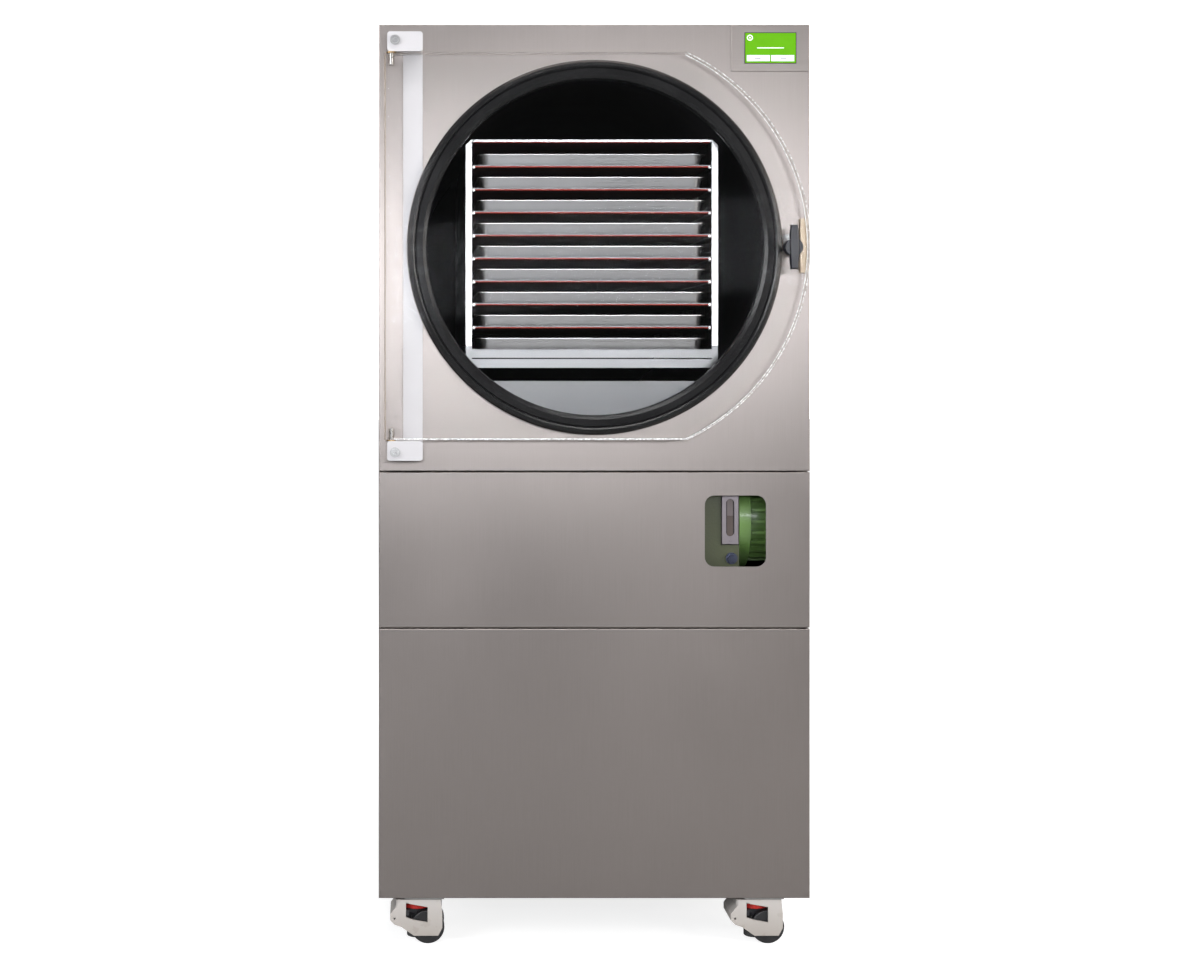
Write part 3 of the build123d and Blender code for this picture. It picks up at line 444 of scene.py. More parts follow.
def seal_rubber(base):
    """Soft black rubber: mould lines round the ring, a bloom of dust and a low sheen."""
    finish = Finish("seal_rubber", specular_ior_level=0.2)
    x, _, z = finish.axes()
    bloom = finish.noise(11, 6.0)
    specks = finish.noise(900, 2.0)
    dust = (specks > 0.66) * (bloom > 0.48)
    body = finish.mix(bloom, scaled(base, 0.75), scaled(base, 1.7))
    finish.give("Base Color", finish.mix(dust * 0.35, body, (0.12, 0.12, 0.12)))
    finish.give("Roughness", 0.15 + bloom * 0.16)
    lines = away(x - AXIS.x, z - AXIS.z).wave(1.6 * MM)
    finish.relief(lines * 0.2 + specks, 0.00006)
    return finish.material


def heater_silicone(base):
    """Silicone sheet with the weave of its glass cloth, red at its front edge and painted near black behind
    it as shade under the trays.
    """
    finish = Finish("heater_silicone")
    x, y, _ = finish.axes()
    thread = 1.2 * MM
    cloud = finish.noise(18, 4.0)
    front = y < MATS_FRONT + MAT_RED_EDGE
    red = finish.mix(cloud, scaled(base, 0.7), scaled(base, 1.35))
    # Behind the red front edge the mat is painted near black: painted shade under the trays.
    shaded_back = finish.mix(cloud, (0.030, 0.008, 0.008), (0.07, 0.014, 0.012))
    finish.give("Base Color", finish.mix(front, shaded_back, red))
    finish.give("Roughness", 0.42 + cloud * 0.2)
    finish.relief(x.wave(thread) * y.wave(thread), 0.00012)
    return finish.material


def chamber_metal(steel, lining):
    """The vessel: a dark lined inside, a plain sill across its mouth and copper turns round it."""
    finish = Finish("chamber_metal", specular_ior_level=0.12)
    x, y, z = finish.axes()
    from_axis = away(x - AXIS.x, z - AXIS.z)
    wall = RIM_SIDE - AXIS.x - RIM_REACH
    inside = (from_axis < wall) * (y > FRONT_Y + MOUTH_DEPTH)
    copper = (from_axis > wall + COPPER_REACH) * (y > FRONT_Y + COPPER_START)
    scratches = finish.noise((900, 12, 900), 4.0)
    cloud = finish.noise(7, 5.0)
    plain = finish.mix(scratches, scaled(steel, 0.19), scaled(steel, 0.26))
    tube = finish.mix(cloud, (0.62, 0.27, 0.14), (0.80, 0.42, 0.27))
    dark = finish.mix(cloud, scaled(lining, 0.6), scaled(lining, 1.2))
    finish.give("Base Color", finish.mix(inside, finish.mix(copper, plain, tube), dark))
    finish.give("Metallic", 1 - inside)
    finish.give("Roughness", 0.30 + inside * 0.42 + (cloud - 0.5) * 0.14)
    finish.relief(scratches, 0.00002)
    return finish.material


def clear_acrylic(tint, edge_shadow_tan):
    """Clear sheet: almost unseen face on, brighter where its cut side wall shows; that wall is painted tan
    as the shadow the door's edge casts on the panel.
    """
    finish = Finish("clear_acrylic", ior=1.49)
    facing = finish.node("ShaderNodeNewGeometry", output="Normal")
    across = finish.node("ShaderNodeSeparateXYZ", None, {0: facing}, 1)
    edge = abs(across) < 0.6
    haze = finish.noise(26, 5.0)
    # The side wall's tan is painted shadow: the shade the door's edge casts on the panel.
    finish.give("Base Color", finish.mix(edge, scaled(tint, 0.08), edge_shadow_tan))
    finish.give("Alpha", 0.008 + haze * 0.008 + edge * 0.5)
    finish.give("Roughness", 0.03 + edge * 0.14 + haze * 0.02)
    return finish.material


def painted_edge_highlight(tint, word, strength):
    """A painted highlight for the acrylic's polished edge: white, in short bright runs."""
    finish = Finish(f"polished_edge_{word}", ior=1.49)
    glint_runs = finish.noise(210)
    # The white runs are a painted highlight along the edge, not marks in the acrylic.
    finish.give("Base Color", finish.mix(glint_runs, scaled(tint, 0.95), (1.0, 1.0, 1.0)))
    finish.give("Alpha", strength + (glint_runs - 0.5) * 1.8)
    finish.give("Roughness", 0.08 + glint_runs * 0.1)
    finish.relief(glint_runs, 0.00005)
    return finish.material


def sight_lens(oil):
    """The sight glass, with oil up to its middle."""
    finish = Finish("sight_lens", roughness=0.06, ior=1.5)
    x, _, z = finish.axes()
    middle, size = (SIGHT_LOW + SIGHT_HIGH) / 2, SIGHT_HIGH - SIGHT_LOW
    rim_width = 2 * MM
    full = z < SIGHT_LOW.z + 0.55 * size.z
    rim = abs(x - middle.x) > size.x / 2 - rim_width
    film = finish.noise(160)
    behind = finish.mix(full, (0.150, 0.130, 0.132), scaled(oil, 0.9))
    finish.give("Base Color", finish.mix(rim, behind, (0.045, 0.042, 0.042)))
    finish.give("Coat Weight", 0.5 + film * 0.3)
    finish.relief(film, 0.00002)
    return finish.material


def lit_display(look):
    """A lit display: one field, a round icon, a plain bar and two soft keys, inside a dark border."""
    finish = Finish("lit_display", roughness=0.5, specular_ior_level=0.15, emission_strength=0.20)
    x, y, z = finish.axes()
    width, height = SCREEN_HIGH.x - SCREEN_LOW.x, SCREEN_HIGH.z - SCREEN_LOW.z
    right = x - SCREEN_LOW.x
    up = z - SCREEN_LOW.z
    border = 1.1 * MM
    lit = right.between(border, width - border) * up.between(border, height - border)
    lit = lit * (y < SCREEN_LOW.y + DISPLAY_DEPTH)
    middle = width / 2
    low, high = look.margin, look.margin + look.key_height
    keys = up.between(low, high) * (
        right.between(look.margin, middle - look.key_gap / 2)
        + right.between(middle + look.key_gap / 2, width - look.margin)
    )
    icon_x, icon_z = look.margin + look.icon_radius, height - look.margin - look.icon_radius
    from_icon = away(right - icon_x, up - icon_z)
    ring = from_icon.between(0.66 * look.icon_radius, look.icon_radius)
    dot = from_icon < 0.28 * look.icon_radius
    bar_z, half_bar = height / 2, 0.8 * MM
    bar = up.between(bar_z - half_bar, bar_z + half_bar) * right.between(0.24 * width, 0.76 * width)
    captions = up.between(low + 0.42 * look.key_height, low + 0.58 * look.key_height) * (
        right.between(0.19 * width, 0.31 * width) + right.between(0.69 * width, 0.81 * width)
    )
    glow = finish.noise(60, 2.0)
    dots = finish.noise(3500, 1.0)
    picture = finish.mix(glow * 0.5 + dots * 0.3, scaled(look.field, 0.82), scaled(look.field, 1.1))
    picture = finish.mix(ring + dot + bar, picture, (0.80, 0.92, 0.74))
    picture = finish.mix(keys, picture, look.key)
    picture = finish.mix(captions, picture, (0.16, 0.17, 0.19))
    picture = finish.mix(lit, (0.008, 0.008, 0.009), picture)
    finish.give("Base Color", picture)
    finish.give("Emission Color", finish.mix(lit, (0, 0, 0), picture))
    return finish.material


def inlet_plastic():
    """The mains inlet's black moulding and its three nickel blades."""
    finish = Finish("inlet_plastic")
    x, y, z = finish.axes()
    middle = (INLET_LOW + INLET_HIGH) / 2
    aside = abs(x - middle.x)
    blade = (abs(aside - BLADE_SPACING) < BLADE_HALF_WIDTH) + (aside < BLADE_HALF_WIDTH)
    blade = blade * (abs(z - middle.z) < BLADE_HALF_HEIGHT)
    blade = blade * y.between(REAR_HIGH.y - BLADE_ROOT_DEPTH, REAR_HIGH.y - BLADE_TIP_DEPTH)
    sparks = finish.noise(1500, 2.0)
    body = finish.mix(sparks, (0.012, 0.012, 0.012), (0.03, 0.03, 0.03))
    finish.give("Base Color", finish.mix(blade, body, (0.70, 0.66, 0.58)))
    finish.give("Metallic", blade)
    finish.give("Roughness", 0.46 - blade * 0.2 + (sparks - 0.5) * 0.1)
    finish.relief(sparks, 0.00003)
    return finish.material


def condenser_metal(look):
    """The coil's fine upright fins, with painted shade between them, its black shroud and the fan's motor.
    """
    finish = Finish("condenser_metal")
    x, y, _ = finish.axes()
    shroud = y > CONDENSER_LOW.y + FINS_DEPTH
    fins = x.wave(look.fin_pitch)
    cloud = finish.noise(16, 4.0)
    # The colour's light and dark stripes at the fin pitch are painted shade in the gaps between the fins.
    metal = finish.mix(fins * 0.4 + 0.5, (0.30, 0.31, 0.32), (0.72, 0.73, 0.74))
    finish.give("Base Color", finish.mix(shroud, metal, look.shroud))
    finish.give("Metallic", 1 - shroud)
    finish.give("Roughness", 0.38 + cloud * 0.2)
    finish.relief(fins * (1 - shroud), 0.0003)
    return finish.material


def copper_tube(look):
    """Drawn copper, browned where it was brazed and handled."""
    finish = Finish("copper_tube", metallic=1.0)
    tarnish = finish.noise(12, 6.0)
    finish.give("Base Color", finish.mix(tarnish, look.copper, look.browned))
    finish.give("Roughness", 0.22 + tarnish * 0.26)
    finish.relief(finish.noise((500, 500, 60), 2.0), 0.00002)
    return finish.material


def hose_rubber():
    """Reinforced hose, with the ridge of its wire at an even pitch."""
    finish = Finish("hose_rubber")
    _, _, z = finish.axes()
    wire_pitch = 6 * MM
    cloud = finish.noise(20, 4.0)
    finish.give("Base Color", finish.mix(cloud, (0.03, 0.03, 0.032), (0.075, 0.075, 0.078)))
    finish.give("Roughness", 0.45 + cloud * 0.2)
    finish.relief(z.wave(wire_pitch), 0.0006)
    return finish.material


def caster_enamel(look, corner):
    """Ivory paint on a casting, darker towards the floor, and painted dark inside: shade, with grease."""
    finish = Finish(f"caster_enamel_{corner}", coat_weight=0.15, coat_roughness=0.2)
    x, y, z = finish.axes()
    low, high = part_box(f"caster_housing_{corner}")
    middle_y, half_depth = (low.y + high.y) / 2, (high.y - low.y) / 2
    wall, roof = 0.9 * look.wall, 1.9 * look.wall
    # Inside the housing the colour is painted near black: shade, with grease.
    inside = (abs(y - middle_y) < half_depth - wall) * (z < high.z - roof) * (x > low.x + look.lobe + wall)
    lumps = finish.noise(420)
    cloud = finish.noise(45, 6.0)
    # The paint darkens from the first height down to the second, towards the floor, and random dark blotches
    # come on top.
    clean, darkest_height = 75 * MM, 15 * MM
    darker_low_and_blotches = finish.ramp(z, clean, darkest_height) * 0.45 + (cloud > 0.62) * 0.12
    paint = finish.mix(darker_low_and_blotches, scaled(look.enamel, 1.05), (0.235, 0.195, 0.155))
    finish.give("Base Color", finish.mix(inside, paint, (0.022, 0.022, 0.026)))
    finish.give("Roughness", 0.36 + cloud * 0.22)
    finish.relief(lumps, 0.00016)
    return finish.material


def thumbwheel_plastic(base, corner):
    """Red moulded rim, with a dark nut below it."""
    finish = Finish(f"thumbwheel_{corner}")
    x, y, _ = finish.axes()
    low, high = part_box(f"caster_dial_{corner}")
    middle = (low + high) / 2
    rim = away(x - middle.x, y - middle.y) > HUB_REACH
    cloud = finish.noise(60, 4.0)
    red = finish.mix(cloud, scaled(base, 0.8), scaled(base, 1.3))
    finish.give("Base Color", finish.mix(rim, (0.03, 0.03, 0.035), red))
    finish.give("Roughness", 0.32 + cloud * 0.16)
    finish.relief(finish.noise(1200, 2.0), 0.00003)
    return finish.material


def levelling_foot(thread, corner):
    """A rubber pad on a plated screw, with the screw's thread."""
    finish = Finish(f"levelling_foot_{corner}")
    x, y, z = finish.axes()
    low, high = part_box(f"caster_foot_{corner}")
    middle = (low + high) / 2
    screw = (away(x - middle.x, y - middle.y) < SCREW_REACH) * (z > low.z + PAD_REACH)
    cloud = finish.noise(80, 4.0)
    rubber = finish.mix(cloud, (0.02, 0.02, 0.021), (0.05, 0.05, 0.05))
    finish.give("Base Color", finish.mix(screw, rubber, (0.58, 0.58, 0.57)))
    finish.give("Metallic", screw)
    finish.give("Roughness", 0.55 - screw * 0.25 + cloud * 0.1)
    finish.relief(z.wave(thread) * screw, 0.0004)
    return finish.material


# --- laying finishes on the frame's own nodes, and making new pieces ---
def dress(material, *nodes):
    """Gives each node of the frame this one material."""
    for node in nodes:
        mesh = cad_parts[node].data
        mesh.materials.clear()
        mesh.materials.append(material)


class Growth(Tree):
    """A geometry node tree with named inputs for its numbers, which ends in plain geometry."""

    def __init__(self, name, inputs):
        super().__init__(bpy.data.node_groups.new(name, "GeometryNodeTree"))
        face = self.tree.interface
        face.new_socket("Geometry", in_out="INPUT", socket_type="NodeSocketGeometry")
        face.new_socket("Geometry", in_out="OUTPUT", socket_type="NodeSocketGeometry")
        self.values = inputs
        kinds = {int: "NodeSocketInt", float: "NodeSocketFloat"}
        self.identifiers = {}
        for word, value in inputs.items():
            made = face.new_socket(word, in_out="INPUT", socket_type=kinds[type(value)])
            self.identifiers[word] = made.identifier
        self.inlet = self.tree.nodes.new("NodeGroupInput")

    def given(self, word="Geometry"):
        """What comes in by the input of this name."""
        return Value(self, self.inlet.outputs[word])

    def vector(self, x=0.0, y=0.0, z=0.0):
        """Three values as one."""
        return self.node("ShaderNodeCombineXYZ", None, {0: x, 1: y, 2: z})

    def end(self, geometry, material):
        """Turns instances into plain geometry and gives it its material."""
        plain = self.node("GeometryNodeRealizeInstances", None, {0: geometry})
        coated = self.node("GeometryNodeSetMaterial", None, {0: plain, "Material": material})
        outlet = self.tree.nodes.new("NodeGroupOutput")
        self.feed(outlet.inputs[0], coated)

    def grow(self, name, body, slot, points=((0, 0, 0),), edges=(), smooth=True):
        """Runs the tree on a few points, and keeps the result as a plain mesh that rides on a body."""
        seed = bpy.data.meshes.new(name + "_seed")
        seed.from_pydata([tuple(p) for p in points], edges, [])
        host = bpy.data.objects.new(name + "_host", seed)
        bpy.context.scene.collection.objects.link(host)
        modifier = host.modifiers.new("Growth", "NODES")
        modifier.node_group = self.tree
        for word, value in self.values.items():
            modifier[self.identifiers[word]] = value
        bpy.context.view_layer.update()
        graph = bpy.context.evaluated_depsgraph_get()
        mesh = bpy.data.meshes.new_from_object(host.evaluated_get(graph), depsgraph=graph)
        bpy.data.objects.remove(host)
        if not mesh.polygons:
            raise RuntimeError(f"{name} came out empty")
        mesh.name = name
        mesh.shade_smooth() if smooth else mesh.shade_flat()
        piece = bpy.data.objects.new(name, mesh)
        bpy.context.scene.collection.objects.link(piece)
        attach(piece, body)
        return piece


def instanced(tree, points, instance, rotation=(0.0, 0.0, 0.0)):
    """One copy of the instance at each point."""
    sockets = {"Points": points, "Instance": instance, "Rotation": Euler(rotation)}
    return tree.node("GeometryNodeInstanceOnPoints", None, sockets)


def cone(tree, corners, rings, top, bottom, height):
    """A cone, or with like radii a rod, that stands on Z."""
    sockets = {
        "Vertices": corners,
        "Side Segments": rings,
        "Radius Top": top,
        "Radius Bottom": bottom,
        "Depth": height,
    }
    return tree.node("GeometryNodeMeshCone", None, sockets)


def screw_tree(name, radius, height, material):
    """Cross-head screws that stand on points and face +Y."""
    tree = Growth(name, {"Head radius": radius, "Head height": height})
    head_radius, head_height = tree.given("Head radius"), tree.given("Head height")
    head = cone(tree, 28, 3, head_radius * 0.72, head_radius, head_height)
    slot_length, slot_width, slot_lift = 1.15, 0.2, 0.95
    cuts = tree.tree.nodes.new("GeometryNodeJoinGeometry")
    for along, across in ((slot_length, slot_width), (slot_width, slot_length)):
        size = tree.vector(head_radius * along, head_radius * across, head_height)
        cutter = tree.node("GeometryNodeMeshCube", None, {"Size": size})
        lift = tree.vector(z=head_height * slot_lift)
        lifted = tree.node("GeometryNodeTransform", None, {0: cutter, "Translation": lift})
        tree.feed(cuts.inputs[0], lifted)
    both = Value(tree, cuts.outputs[0])
    slotted = tree.node("GeometryNodeMeshBoolean", {"operation": "DIFFERENCE"}, {0: head, 1: both})
    tree.end(instanced(tree, tree.given(), slotted, (-math.pi / 2, 0, 0)), material)
    return tree


def rib_tree(name, radius, count, rib_radius, height, material):
    """Half-round ribs round an upright axis, at each point."""
    tree = Growth(name, {"Radius": radius, "Ribs": count, "Rib radius": rib_radius, "Height": height})
    sockets = {"Vertices": tree.given("Ribs"), "Radius": tree.given("Radius")}
    ring = tree.node("GeometryNodeMeshCircle", None, sockets)
    foot = tree.given("Rib radius")
    rib = cone(tree, 10, 2, foot * 0.8, foot, tree.given("Height"))
    crown = tree.node("GeometryNodeRealizeInstances", None, {0: instanced(tree, ring, rib)})
    tree.end(instanced(tree, tree.given(), crown), material)
    return tree


def bead_tree(name, radius, material, taper=0.0):
    """A round bead along the edges of a wire. A taper draws in its ends: the higher, the more sharply."""
    tree = Growth(name, {"Bead radius": radius, "Taper": taper})
    line = tree.node("GeometryNodeMeshToCurve", None, {0: tree.given()})
    if taper:
        line = tree.node("GeometryNodeResampleCurve", None, {0: line, "Count": 48})
        along = tree.node("GeometryNodeSplineParameter")
        swell = (1 - abs(along * 2 - 1) ** tree.given("Taper")).root()
        line = tree.node("GeometryNodeSetCurveRadius", None, {0: line, "Radius": swell})
    sockets = {"Resolution": 10, "Radius": tree.given("Bead radius")}
    ring = tree.node("GeometryNodeCurvePrimitiveCircle", None, sockets)
    sockets = {"Curve": line, "Profile Curve": ring, "Fill Caps": True}
    tree.end(tree.node("GeometryNodeCurveToMesh", None, sockets), material)
    return tree


def tab_tree(name, width, material):
    """Small rounded tabs, one at each point."""
    tree = Growth(name, {"Width": width})
    size = tree.given("Width")
    blank = tree.node("GeometryNodeMeshCube", None, {"Size": tree.vector(size, size * 0.6, size * 1.3)})
    sockets = {0: blank, "Level": 2, "Edge Crease": 0.55}
    soft = tree.node("GeometryNodeSubdivisionSurface", None, sockets)
    tree.end(instanced(tree, tree.given(), soft), material)
    return tree


# --- one operator for each piece or group of like pieces ---
class Step(bpy.types.Operator):
    """What all the operators share: each one makes its piece in the current scene"""

    bl_options = {"REGISTER", "UNDO"}

    def execute(self, context):
        self.make(context.scene)
        return {"FINISHED"}


class DRYER_OT_cabinet(Step):
    """Brushed steel on the cabinet's panels, and zinc on what they hide"""

    bl_idname = "dryer.cabinet"
    bl_label = "Cabinet"

    def make(self, scene):
        look = scene.dryer_steel
        fronts = ("front_panel_upper", "front_panel_middle", "front_panel_lower")
        sides = ("side_panel_left", "side_panel_right")
        upright = brushed("brushed_panel", look.sheet, look.grain, "z", 0.335)
        dress(upright, *fronts, *sides, "rear_panel")
        dress(brushed("brushed_top", look.sheet, look.grain, "y", 0.36), "top_panel")
        dress(zinc_sheet(look.zinc), "base_pan", "equipment_decks")


class DRYER_OT_controls(Step):
    """The display, its fascia and the mains inlet"""

    bl_idname = "dryer.controls"
    bl_label = "Controls"

    def make(self, scene):
        look = scene.dryer_steel
        fascia = brushed("brushed_fascia", scaled(look.sheet, 0.93), look.grain, "x", 0.34)
        dress(fascia, "control_fascia")
        dress(lit_display(scene.dryer_screen), "display_screen")
        dress(inlet_plastic(), "power_inlet")


class DRYER_OT_chamber(Step):
    """The vessel and its seal"""

    bl_idname = "dryer.chamber"
    bl_label = "Chamber and seal"

    def make(self, scene):
        look = scene.dryer_chamber
        dress(chamber_metal(scene.dryer_steel.bright, look.lining), "chamber_shell")
        dress(seal_rubber(look.rubber), "door_seal")


class DRYER_OT_rack(Step):
    """The rack, its shelves, trays and heater mats, and the tabs that hold the shelves"""

    bl_idname = "dryer.rack"
    bl_label = "Rack and trays"

    def make(self, scene):
        look = scene.dryer_steel
        frame_steel = rack_steel(look.bright)
        dress(frame_steel, "rack_frame")
        # The shelves are a much darkened copy of the bright steel: painted shade between the trays.
        shelf = brushed("shelf_steel", scaled(look.bright, 0.24), 0.7 * MM, "x", 0.36, 0.06)
        dress(shelf, "rack_shelves")
        trays = [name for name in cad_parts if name.startswith("tray_")]
        dress(brushed("tray_steel", scaled(look.bright, 0.78), 0.9 * MM, "x", 0.30, 0.08), *trays)
        dress(heater_silicone(scene.dryer_chamber.heater), "heater_mats")
        self.hold_shelves(scene.dryer_chamber, trays, frame_steel)

    def hold_shelves(self, look, trays, steel):
        """A tab under each end of a shelf, at the rack's front."""
        width = look.tab_width
        side = RACK_HIGH.x - look.tab_inset - width / 2
        y = RACK_LOW.y + 0.6 * width
        levels = [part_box(tray)[0].z - 0.7 * width for tray in trays]
        points = [(x, y, z) for z in levels for x in (-side, side)]
        tree = tab_tree("Shelf tabs", width, steel)
        tree.grow("shelf_tabs", "cabinet", "bright_stainless", points)


class DRYER_OT_door(Step):
    """The clear door with painted highlights on its polished edges, its hinge and its latch"""

    bl_idname = "dryer.door"
    bl_label = "Door, hinge and latch"

    def make(self, scene):
        look = scene.dryer_door
        dress(clear_acrylic(look.acrylic, look.edge_shadow_tan), "door_panel")
        dress(enamel("hinge_paint", look.hinge, 0.34, 700, 0.00008, scaled(look.hinge, 0.86)), "hinge_plate")
        dress(turned_steel(scene.dryer_steel.bolt), "hinge_bolts", "latch_tongue", "caster_plates")
        dress(pivot_steel(look.pin, look.collar), "hinge_pins")
        dress(moulded("latch_plastic", look.handle, 0.34), "latch_handle")
        # The keeper's tan is painted shadow, the shade the latch casts on the panel.
        dress(brushed("keeper_steel", look.keeper, 0.8 * MM, "z", 0.34), "latch_keeper")
        self.paint_edge_highlights(look)

    def paint_edge_highlights(self, look):
        """A fine bead down the door's polished round edge and along its foot, front and back, painted white
        as a highlight.
        """
        radius = DOOR_HIGH.x - AXIS.x
        half = (DOOR_HIGH.z - DOOR_LOW.z) / 2
        turn = math.asin(half / radius)
        steps = 60
        arc = [turn - 2 * turn * i / steps for i in range(steps + 1)]
        outline = [(AXIS.x + radius * math.cos(a), AXIS.z + radius * math.sin(a)) for a in arc]
        outline.append((PIVOT.x, AXIS.z - half))
        edges = [(i, i + 1) for i in range(len(outline) - 1)]
        inset = 0.6 * look.edge_radius
        beads = (("front", DOOR_LOW.y + inset, 0.30), ("back", DOOR_HIGH.y - inset, 0.62))
        for word, y, strength in beads:
            material = painted_edge_highlight(look.acrylic, word, strength)
            tree = bead_tree(f"Door edge {word}", look.edge_radius, material)
            points = [self.drawn_in(x, z, look.edge_radius, y) for x, z in outline]
            tree.grow(f"door_edge_{word}", "door", "clear_acrylic", points, edges)

    def drawn_in(self, x, z, distance, y):
        """A point of the outline, moved towards the door's middle so that the bead stays within it."""
        inward = Vector((AXIS.x - x, 0, AXIS.z - z)).normalized() * distance
        return (x + inward.x, y, z + inward.z)


class DRYER_OT_pump(Step):
    """The vacuum pump, its motor, sight glass and hose"""

    bl_idname = "dryer.pump"
    bl_label = "Vacuum pump"

    def make(self, scene):
        look = scene.dryer_pump
        casing = enamel("casing_paint", look.casing, 0.40, 260, 0.0003, scaled(look.casing, 0.55))
        dress(casing, "pump_casing")
        motor = enamel("motor_paint", look.motor, 0.36, 300, 0.00025, scaled(look.motor, 0.6))
        dress(motor, "pump_motor")
        dress(brushed("cast_bezel", look.bezel, 1.2 * MM, "z", 0.34, 0.08), "sight_frame")
        dress(sight_lens(look.oil), "sight_glass")
        dress(turned_steel(look.plug), "oil_drain_plug")
        dress(hose_rubber(), "vacuum_hose")


class DRYER_OT_refrigeration(Step):
    """The compressor, condenser, fan and copper lines"""

    bl_idname = "dryer.refrigeration"
    bl_label = "Refrigeration set"

    def make(self, scene):
        look = scene.dryer_cooling
        dress(enamel("compressor_enamel", look.enamel, 0.30, 90, 0.0002, (0.03, 0.03, 0.03)), "compressor")
        dress(condenser_metal(look), "condenser_coil")
        dress(moulded("fan_plastic", look.fan, 0.46), "fan_rotor")
        dress(copper_tube(look), "refrigerant_lines")


class DRYER_OT_casters(Step):
    """The four levelling casters, and the ribs round their thumbwheels"""

    bl_idname = "dryer.casters"
    bl_label = "Casters"

    def make(self, scene):
        look = scene.dryer_casters
        dress(moulded("wheel_nylon", look.wheel, 0.38), *[f"caster_wheel_{corner}" for corner in CORNERS])
        for corner in CORNERS:
            red = thumbwheel_plastic(look.dial, corner)
            dress(caster_enamel(look, corner), f"caster_housing_{corner}")
            dress(red, f"caster_dial_{corner}")
            dress(levelling_foot(look.thread, corner), f"caster_foot_{corner}")
            self.rib_dial(look, corner, red)

    def rib_dial(self, look, corner, plastic):
        """Ribs up the rim of one thumbwheel, short of its top and bottom edges."""
        low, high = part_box(f"caster_dial_{corner}")
        radius = (high.x - low.x) / 2 - 0.5 * look.rib_radius
        height, foot = 0.72 * DIAL_DISC, high.z - 0.86 * DIAL_DISC
        tree = rib_tree("Thumbwheel ribs", radius, look.rib_count, look.rib_radius, height, plastic)
        centre = ((low.x + high.x) / 2, (low.y + high.y) / 2, foot)
        tree.grow(f"dial_ribs_{corner}", f"dial_{corner}", "dial_plastic", [centre])


class DRYER_OT_rear(Step):
    """Screws round the rear panel and beads over its vents"""

    bl_idname = "dryer.rear"
    bl_label = "Rear panel"

    def make(self, scene):
        look = scene.dryer_rear
        self.screw_down(look, turned_steel(scene.dryer_steel.screw))
        self.bead_vents(look)

    def screw_down(self, look, steel):
        """Screws up both sides of the rear panel, and one in the middle of its top and bottom."""
        inset, rows = look.screw_inset, look.screw_rows
        left, right = REAR_LOW.x + inset, REAR_HIGH.x - inset
        low, high = REAR_LOW.z + inset, REAR_HIGH.z - inset
        levels = [low + (high - low) * i / (rows - 1) for i in range(rows)]
        places = [(x, z) for z in levels for x in (left, right)] + [(0, low), (0, high)]
        tree = screw_tree("Panel screws", look.screw_radius, look.screw_height, steel)
        points = [(x, REAR_HIGH.y, z) for x, z in places]
        tree.grow("rear_panel_screws", "cabinet", "bolt_steel", points, smooth=False)

    def bead_vents(self, look):
        """A pressed bead over each vent slot."""
        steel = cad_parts["rear_panel"].data.materials[0]
        middle_x = CONDENSER_LOW.x + CONDENSER_WIDTH / 2
        ends = (middle_x - VENT_LENGTH / 2, middle_x + VENT_LENGTH / 2)
        middle_z = (CONDENSER_LOW.z + CONDENSER_HIGH.z) / 2
        lowest = middle_z - (VENT_COUNT - 1) / 2 * VENT_PITCH + look.bead_rise
        levels = [lowest + i * VENT_PITCH for i in range(VENT_COUNT)]
        points = [(x, REAR_HIGH.y, z) for z in levels for x in ends]
        edges = [(first, first + 1) for first in range(0, len(points), len(ends))]
        tree = bead_tree("Vent beads", look.bead_reach, steel, 40.0)
        tree.grow("vent_beads", "cabinet", "brushed_stainless", points, edges)


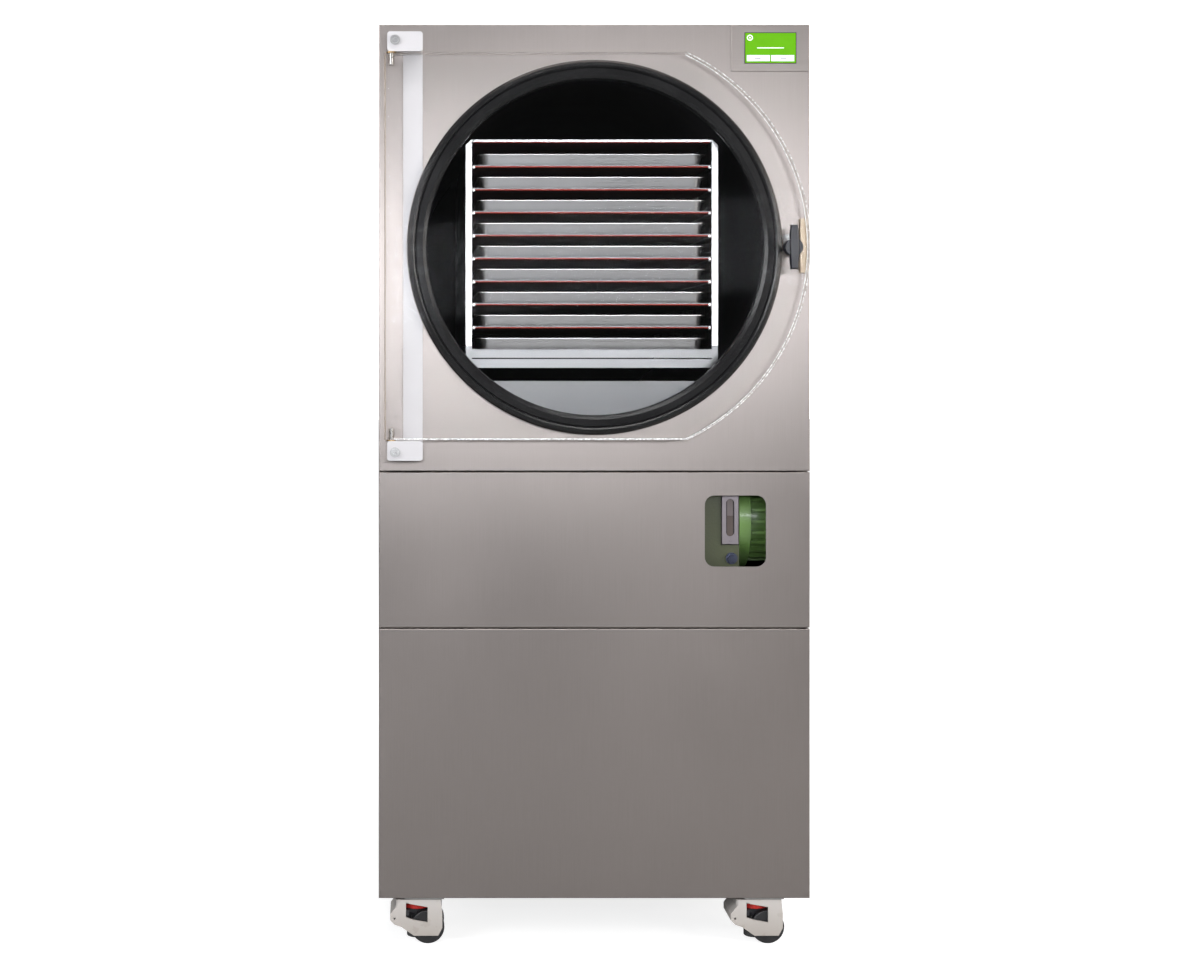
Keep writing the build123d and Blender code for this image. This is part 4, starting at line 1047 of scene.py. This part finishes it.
class DRYER_OT_stage(Step):
    """The floor, the lights and the camera"""

    bl_idname = "dryer.stage"
    bl_label = "Stage"

    def make(self, scene):
        look = scene.dryer_stage
        self.lay_floor(look)
        self.light_room(scene)
        self.place_camera(scene, look)

    def floor_paint(self, look):
        """Pale paint that fades into the backdrop away from the machine."""
        finish = Finish("floor_paint", roughness=0.55, emission_strength=1.0)
        cloud = finish.noise(1.5)
        finish.give("Base Color", finish.mix(cloud, scaled(look.floor, 0.985), scaled(look.floor, 1.015)))
        x, y, _ = finish.axes()
        fade = finish.ramp(away(x / 0.9, y / 1.1), 0.3, 1.5)
        seen = finish.node("ShaderNodeLightPath")
        glow = finish.mix(fade, (0.80, 0.80, 0.80), (1.0, 1.0, 1.0))
        finish.give("Emission Color", finish.mix(seen, (0.0, 0.0, 0.0), glow))
        return finish.material

    def lay_floor(self, look):
        """A flat floor, wide enough that its edge is never seen."""
        reach = 30.0
        mesh = bpy.data.meshes.new("floor")
        corners = [(-reach, -reach, 0), (reach, -reach, 0), (reach, reach, 0), (-reach, reach, 0)]
        mesh.from_pydata(corners, [], [(0, 1, 2, 3)])
        mesh.materials.append(self.floor_paint(look))
        floor = bpy.data.objects.new("floor", mesh)
        bpy.context.scene.collection.objects.link(floor)

    def light_room(self, scene):
        """A bright backdrop that lights the room only a little, and six soft lamps."""
        world = bpy.data.worlds.new("studio")
        world.use_nodes = True
        sky = world.node_tree.nodes["Background"]
        sky.inputs["Color"].default_value = (0.96, 0.965, 0.97, 1)
        room, backdrop = 0.15, 2.6
        tree = Tree(world.node_tree)
        seen = tree.node("ShaderNodeLightPath")
        tree.feed(sky.inputs["Strength"], seen * (backdrop - room) + room)
        scene.world = world
        scene.view_settings.view_transform = "Standard"
        aim = Vector((0, 0, 0.9))
        lamps = (
            ("key", (0.1, -4.3, 1.43), (2.4, 0.36), 0.09, 53, (0.92, 0.95, 1.0)),
            ("side", (-3.3, -3.3, 2.2), (1.8, 1.8), 0.0, 135, (0.97, 0.98, 1.0)),
            ("fill", (3.5, -3.1, 1.7), (1.8, 1.8), 0.0, 120, (1.0, 0.96, 0.92)),
            ("over", (0.0, -2.3, 3.9), (2.4, 0.5), 0.0, 55, (1.0, 0.99, 0.98)),
            ("top", (0.3, 0.3, 4.6), (3.0, 3.0), 0.0, 80, (1.0, 0.99, 0.97)),
            ("back", (2.2, 4.2, 2.6), (2.6, 2.6), 0.0, 90, (1.0, 0.98, 0.96)),
        )
        for name, place, size, roll, power, tint in lamps:
            lamp = bpy.data.lights.new(name, "AREA")
            lamp.shape, lamp.energy, lamp.color = "RECTANGLE", power, tint
            lamp.size, lamp.size_y = size
            stand = bpy.data.objects.new(name, lamp)
            stand.location = place
            stand.rotation_euler = (aim - Vector(place)).to_track_quat("-Z", "Y").to_euler()
            stand.rotation_euler.rotate_axis("Z", roll)
            scene.collection.objects.link(stand)

    def place_camera(self, scene, look):
        """Level, so that uprights stay upright, with the shift that brings the whole machine in."""
        camera = bpy.data.cameras.new("camera")
        camera.sensor_width = 36.0
        camera.lens = camera.sensor_width * look.distance / look.span
        camera.shift_x = (look.middle_x + look.side) / look.span
        camera.shift_y = (look.middle_z - look.height) / look.span
        stand = bpy.data.objects.new("camera", camera)
        stand.location = (-look.side, FRONT_Y - look.distance, look.height)
        stand.rotation_euler = (math.pi / 2, 0, 0)
        scene.collection.objects.link(stand)
        scene.camera = stand


STEPS = (
    DRYER_OT_cabinet,
    DRYER_OT_controls,
    DRYER_OT_chamber,
    DRYER_OT_rack,
    DRYER_OT_door,
    DRYER_OT_pump,
    DRYER_OT_refrigeration,
    DRYER_OT_casters,
    DRYER_OT_rear,
    DRYER_OT_stage,
)


class DRYER_PT_panel(bpy.types.Panel):
    """The dryer's sizes, colours and steps"""

    bl_idname = "DRYER_PT_panel"
    bl_label = "Freeze dryer"
    bl_space_type = "VIEW_3D"
    bl_region_type = "UI"
    bl_category = "Freeze dryer"

    def draw(self, context):
        for step in STEPS:
            self.layout.operator(step.bl_idname, text=step.bl_label)
        for name, group in LOOKS.items():
            box = self.layout.box()
            for word in group.__annotations__:
                box.prop(getattr(context.scene, name), word)


CLASSES = (*LOOKS.values(), *STEPS, DRYER_PT_panel)


def register():
    for kind in CLASSES:
        bpy.utils.register_class(kind)
    for name, group in LOOKS.items():
        setattr(bpy.types.Scene, name, PointerProperty(type=group))


def unregister():
    for name in LOOKS:
        delattr(bpy.types.Scene, name)
    for kind in reversed(CLASSES):
        bpy.utils.unregister_class(kind)


def main():
    register()
    for step in STEPS:
        group, name = step.bl_idname.split(".")
        getattr(getattr(bpy.ops, group), name)()


if __name__ == "__main__":
    main()
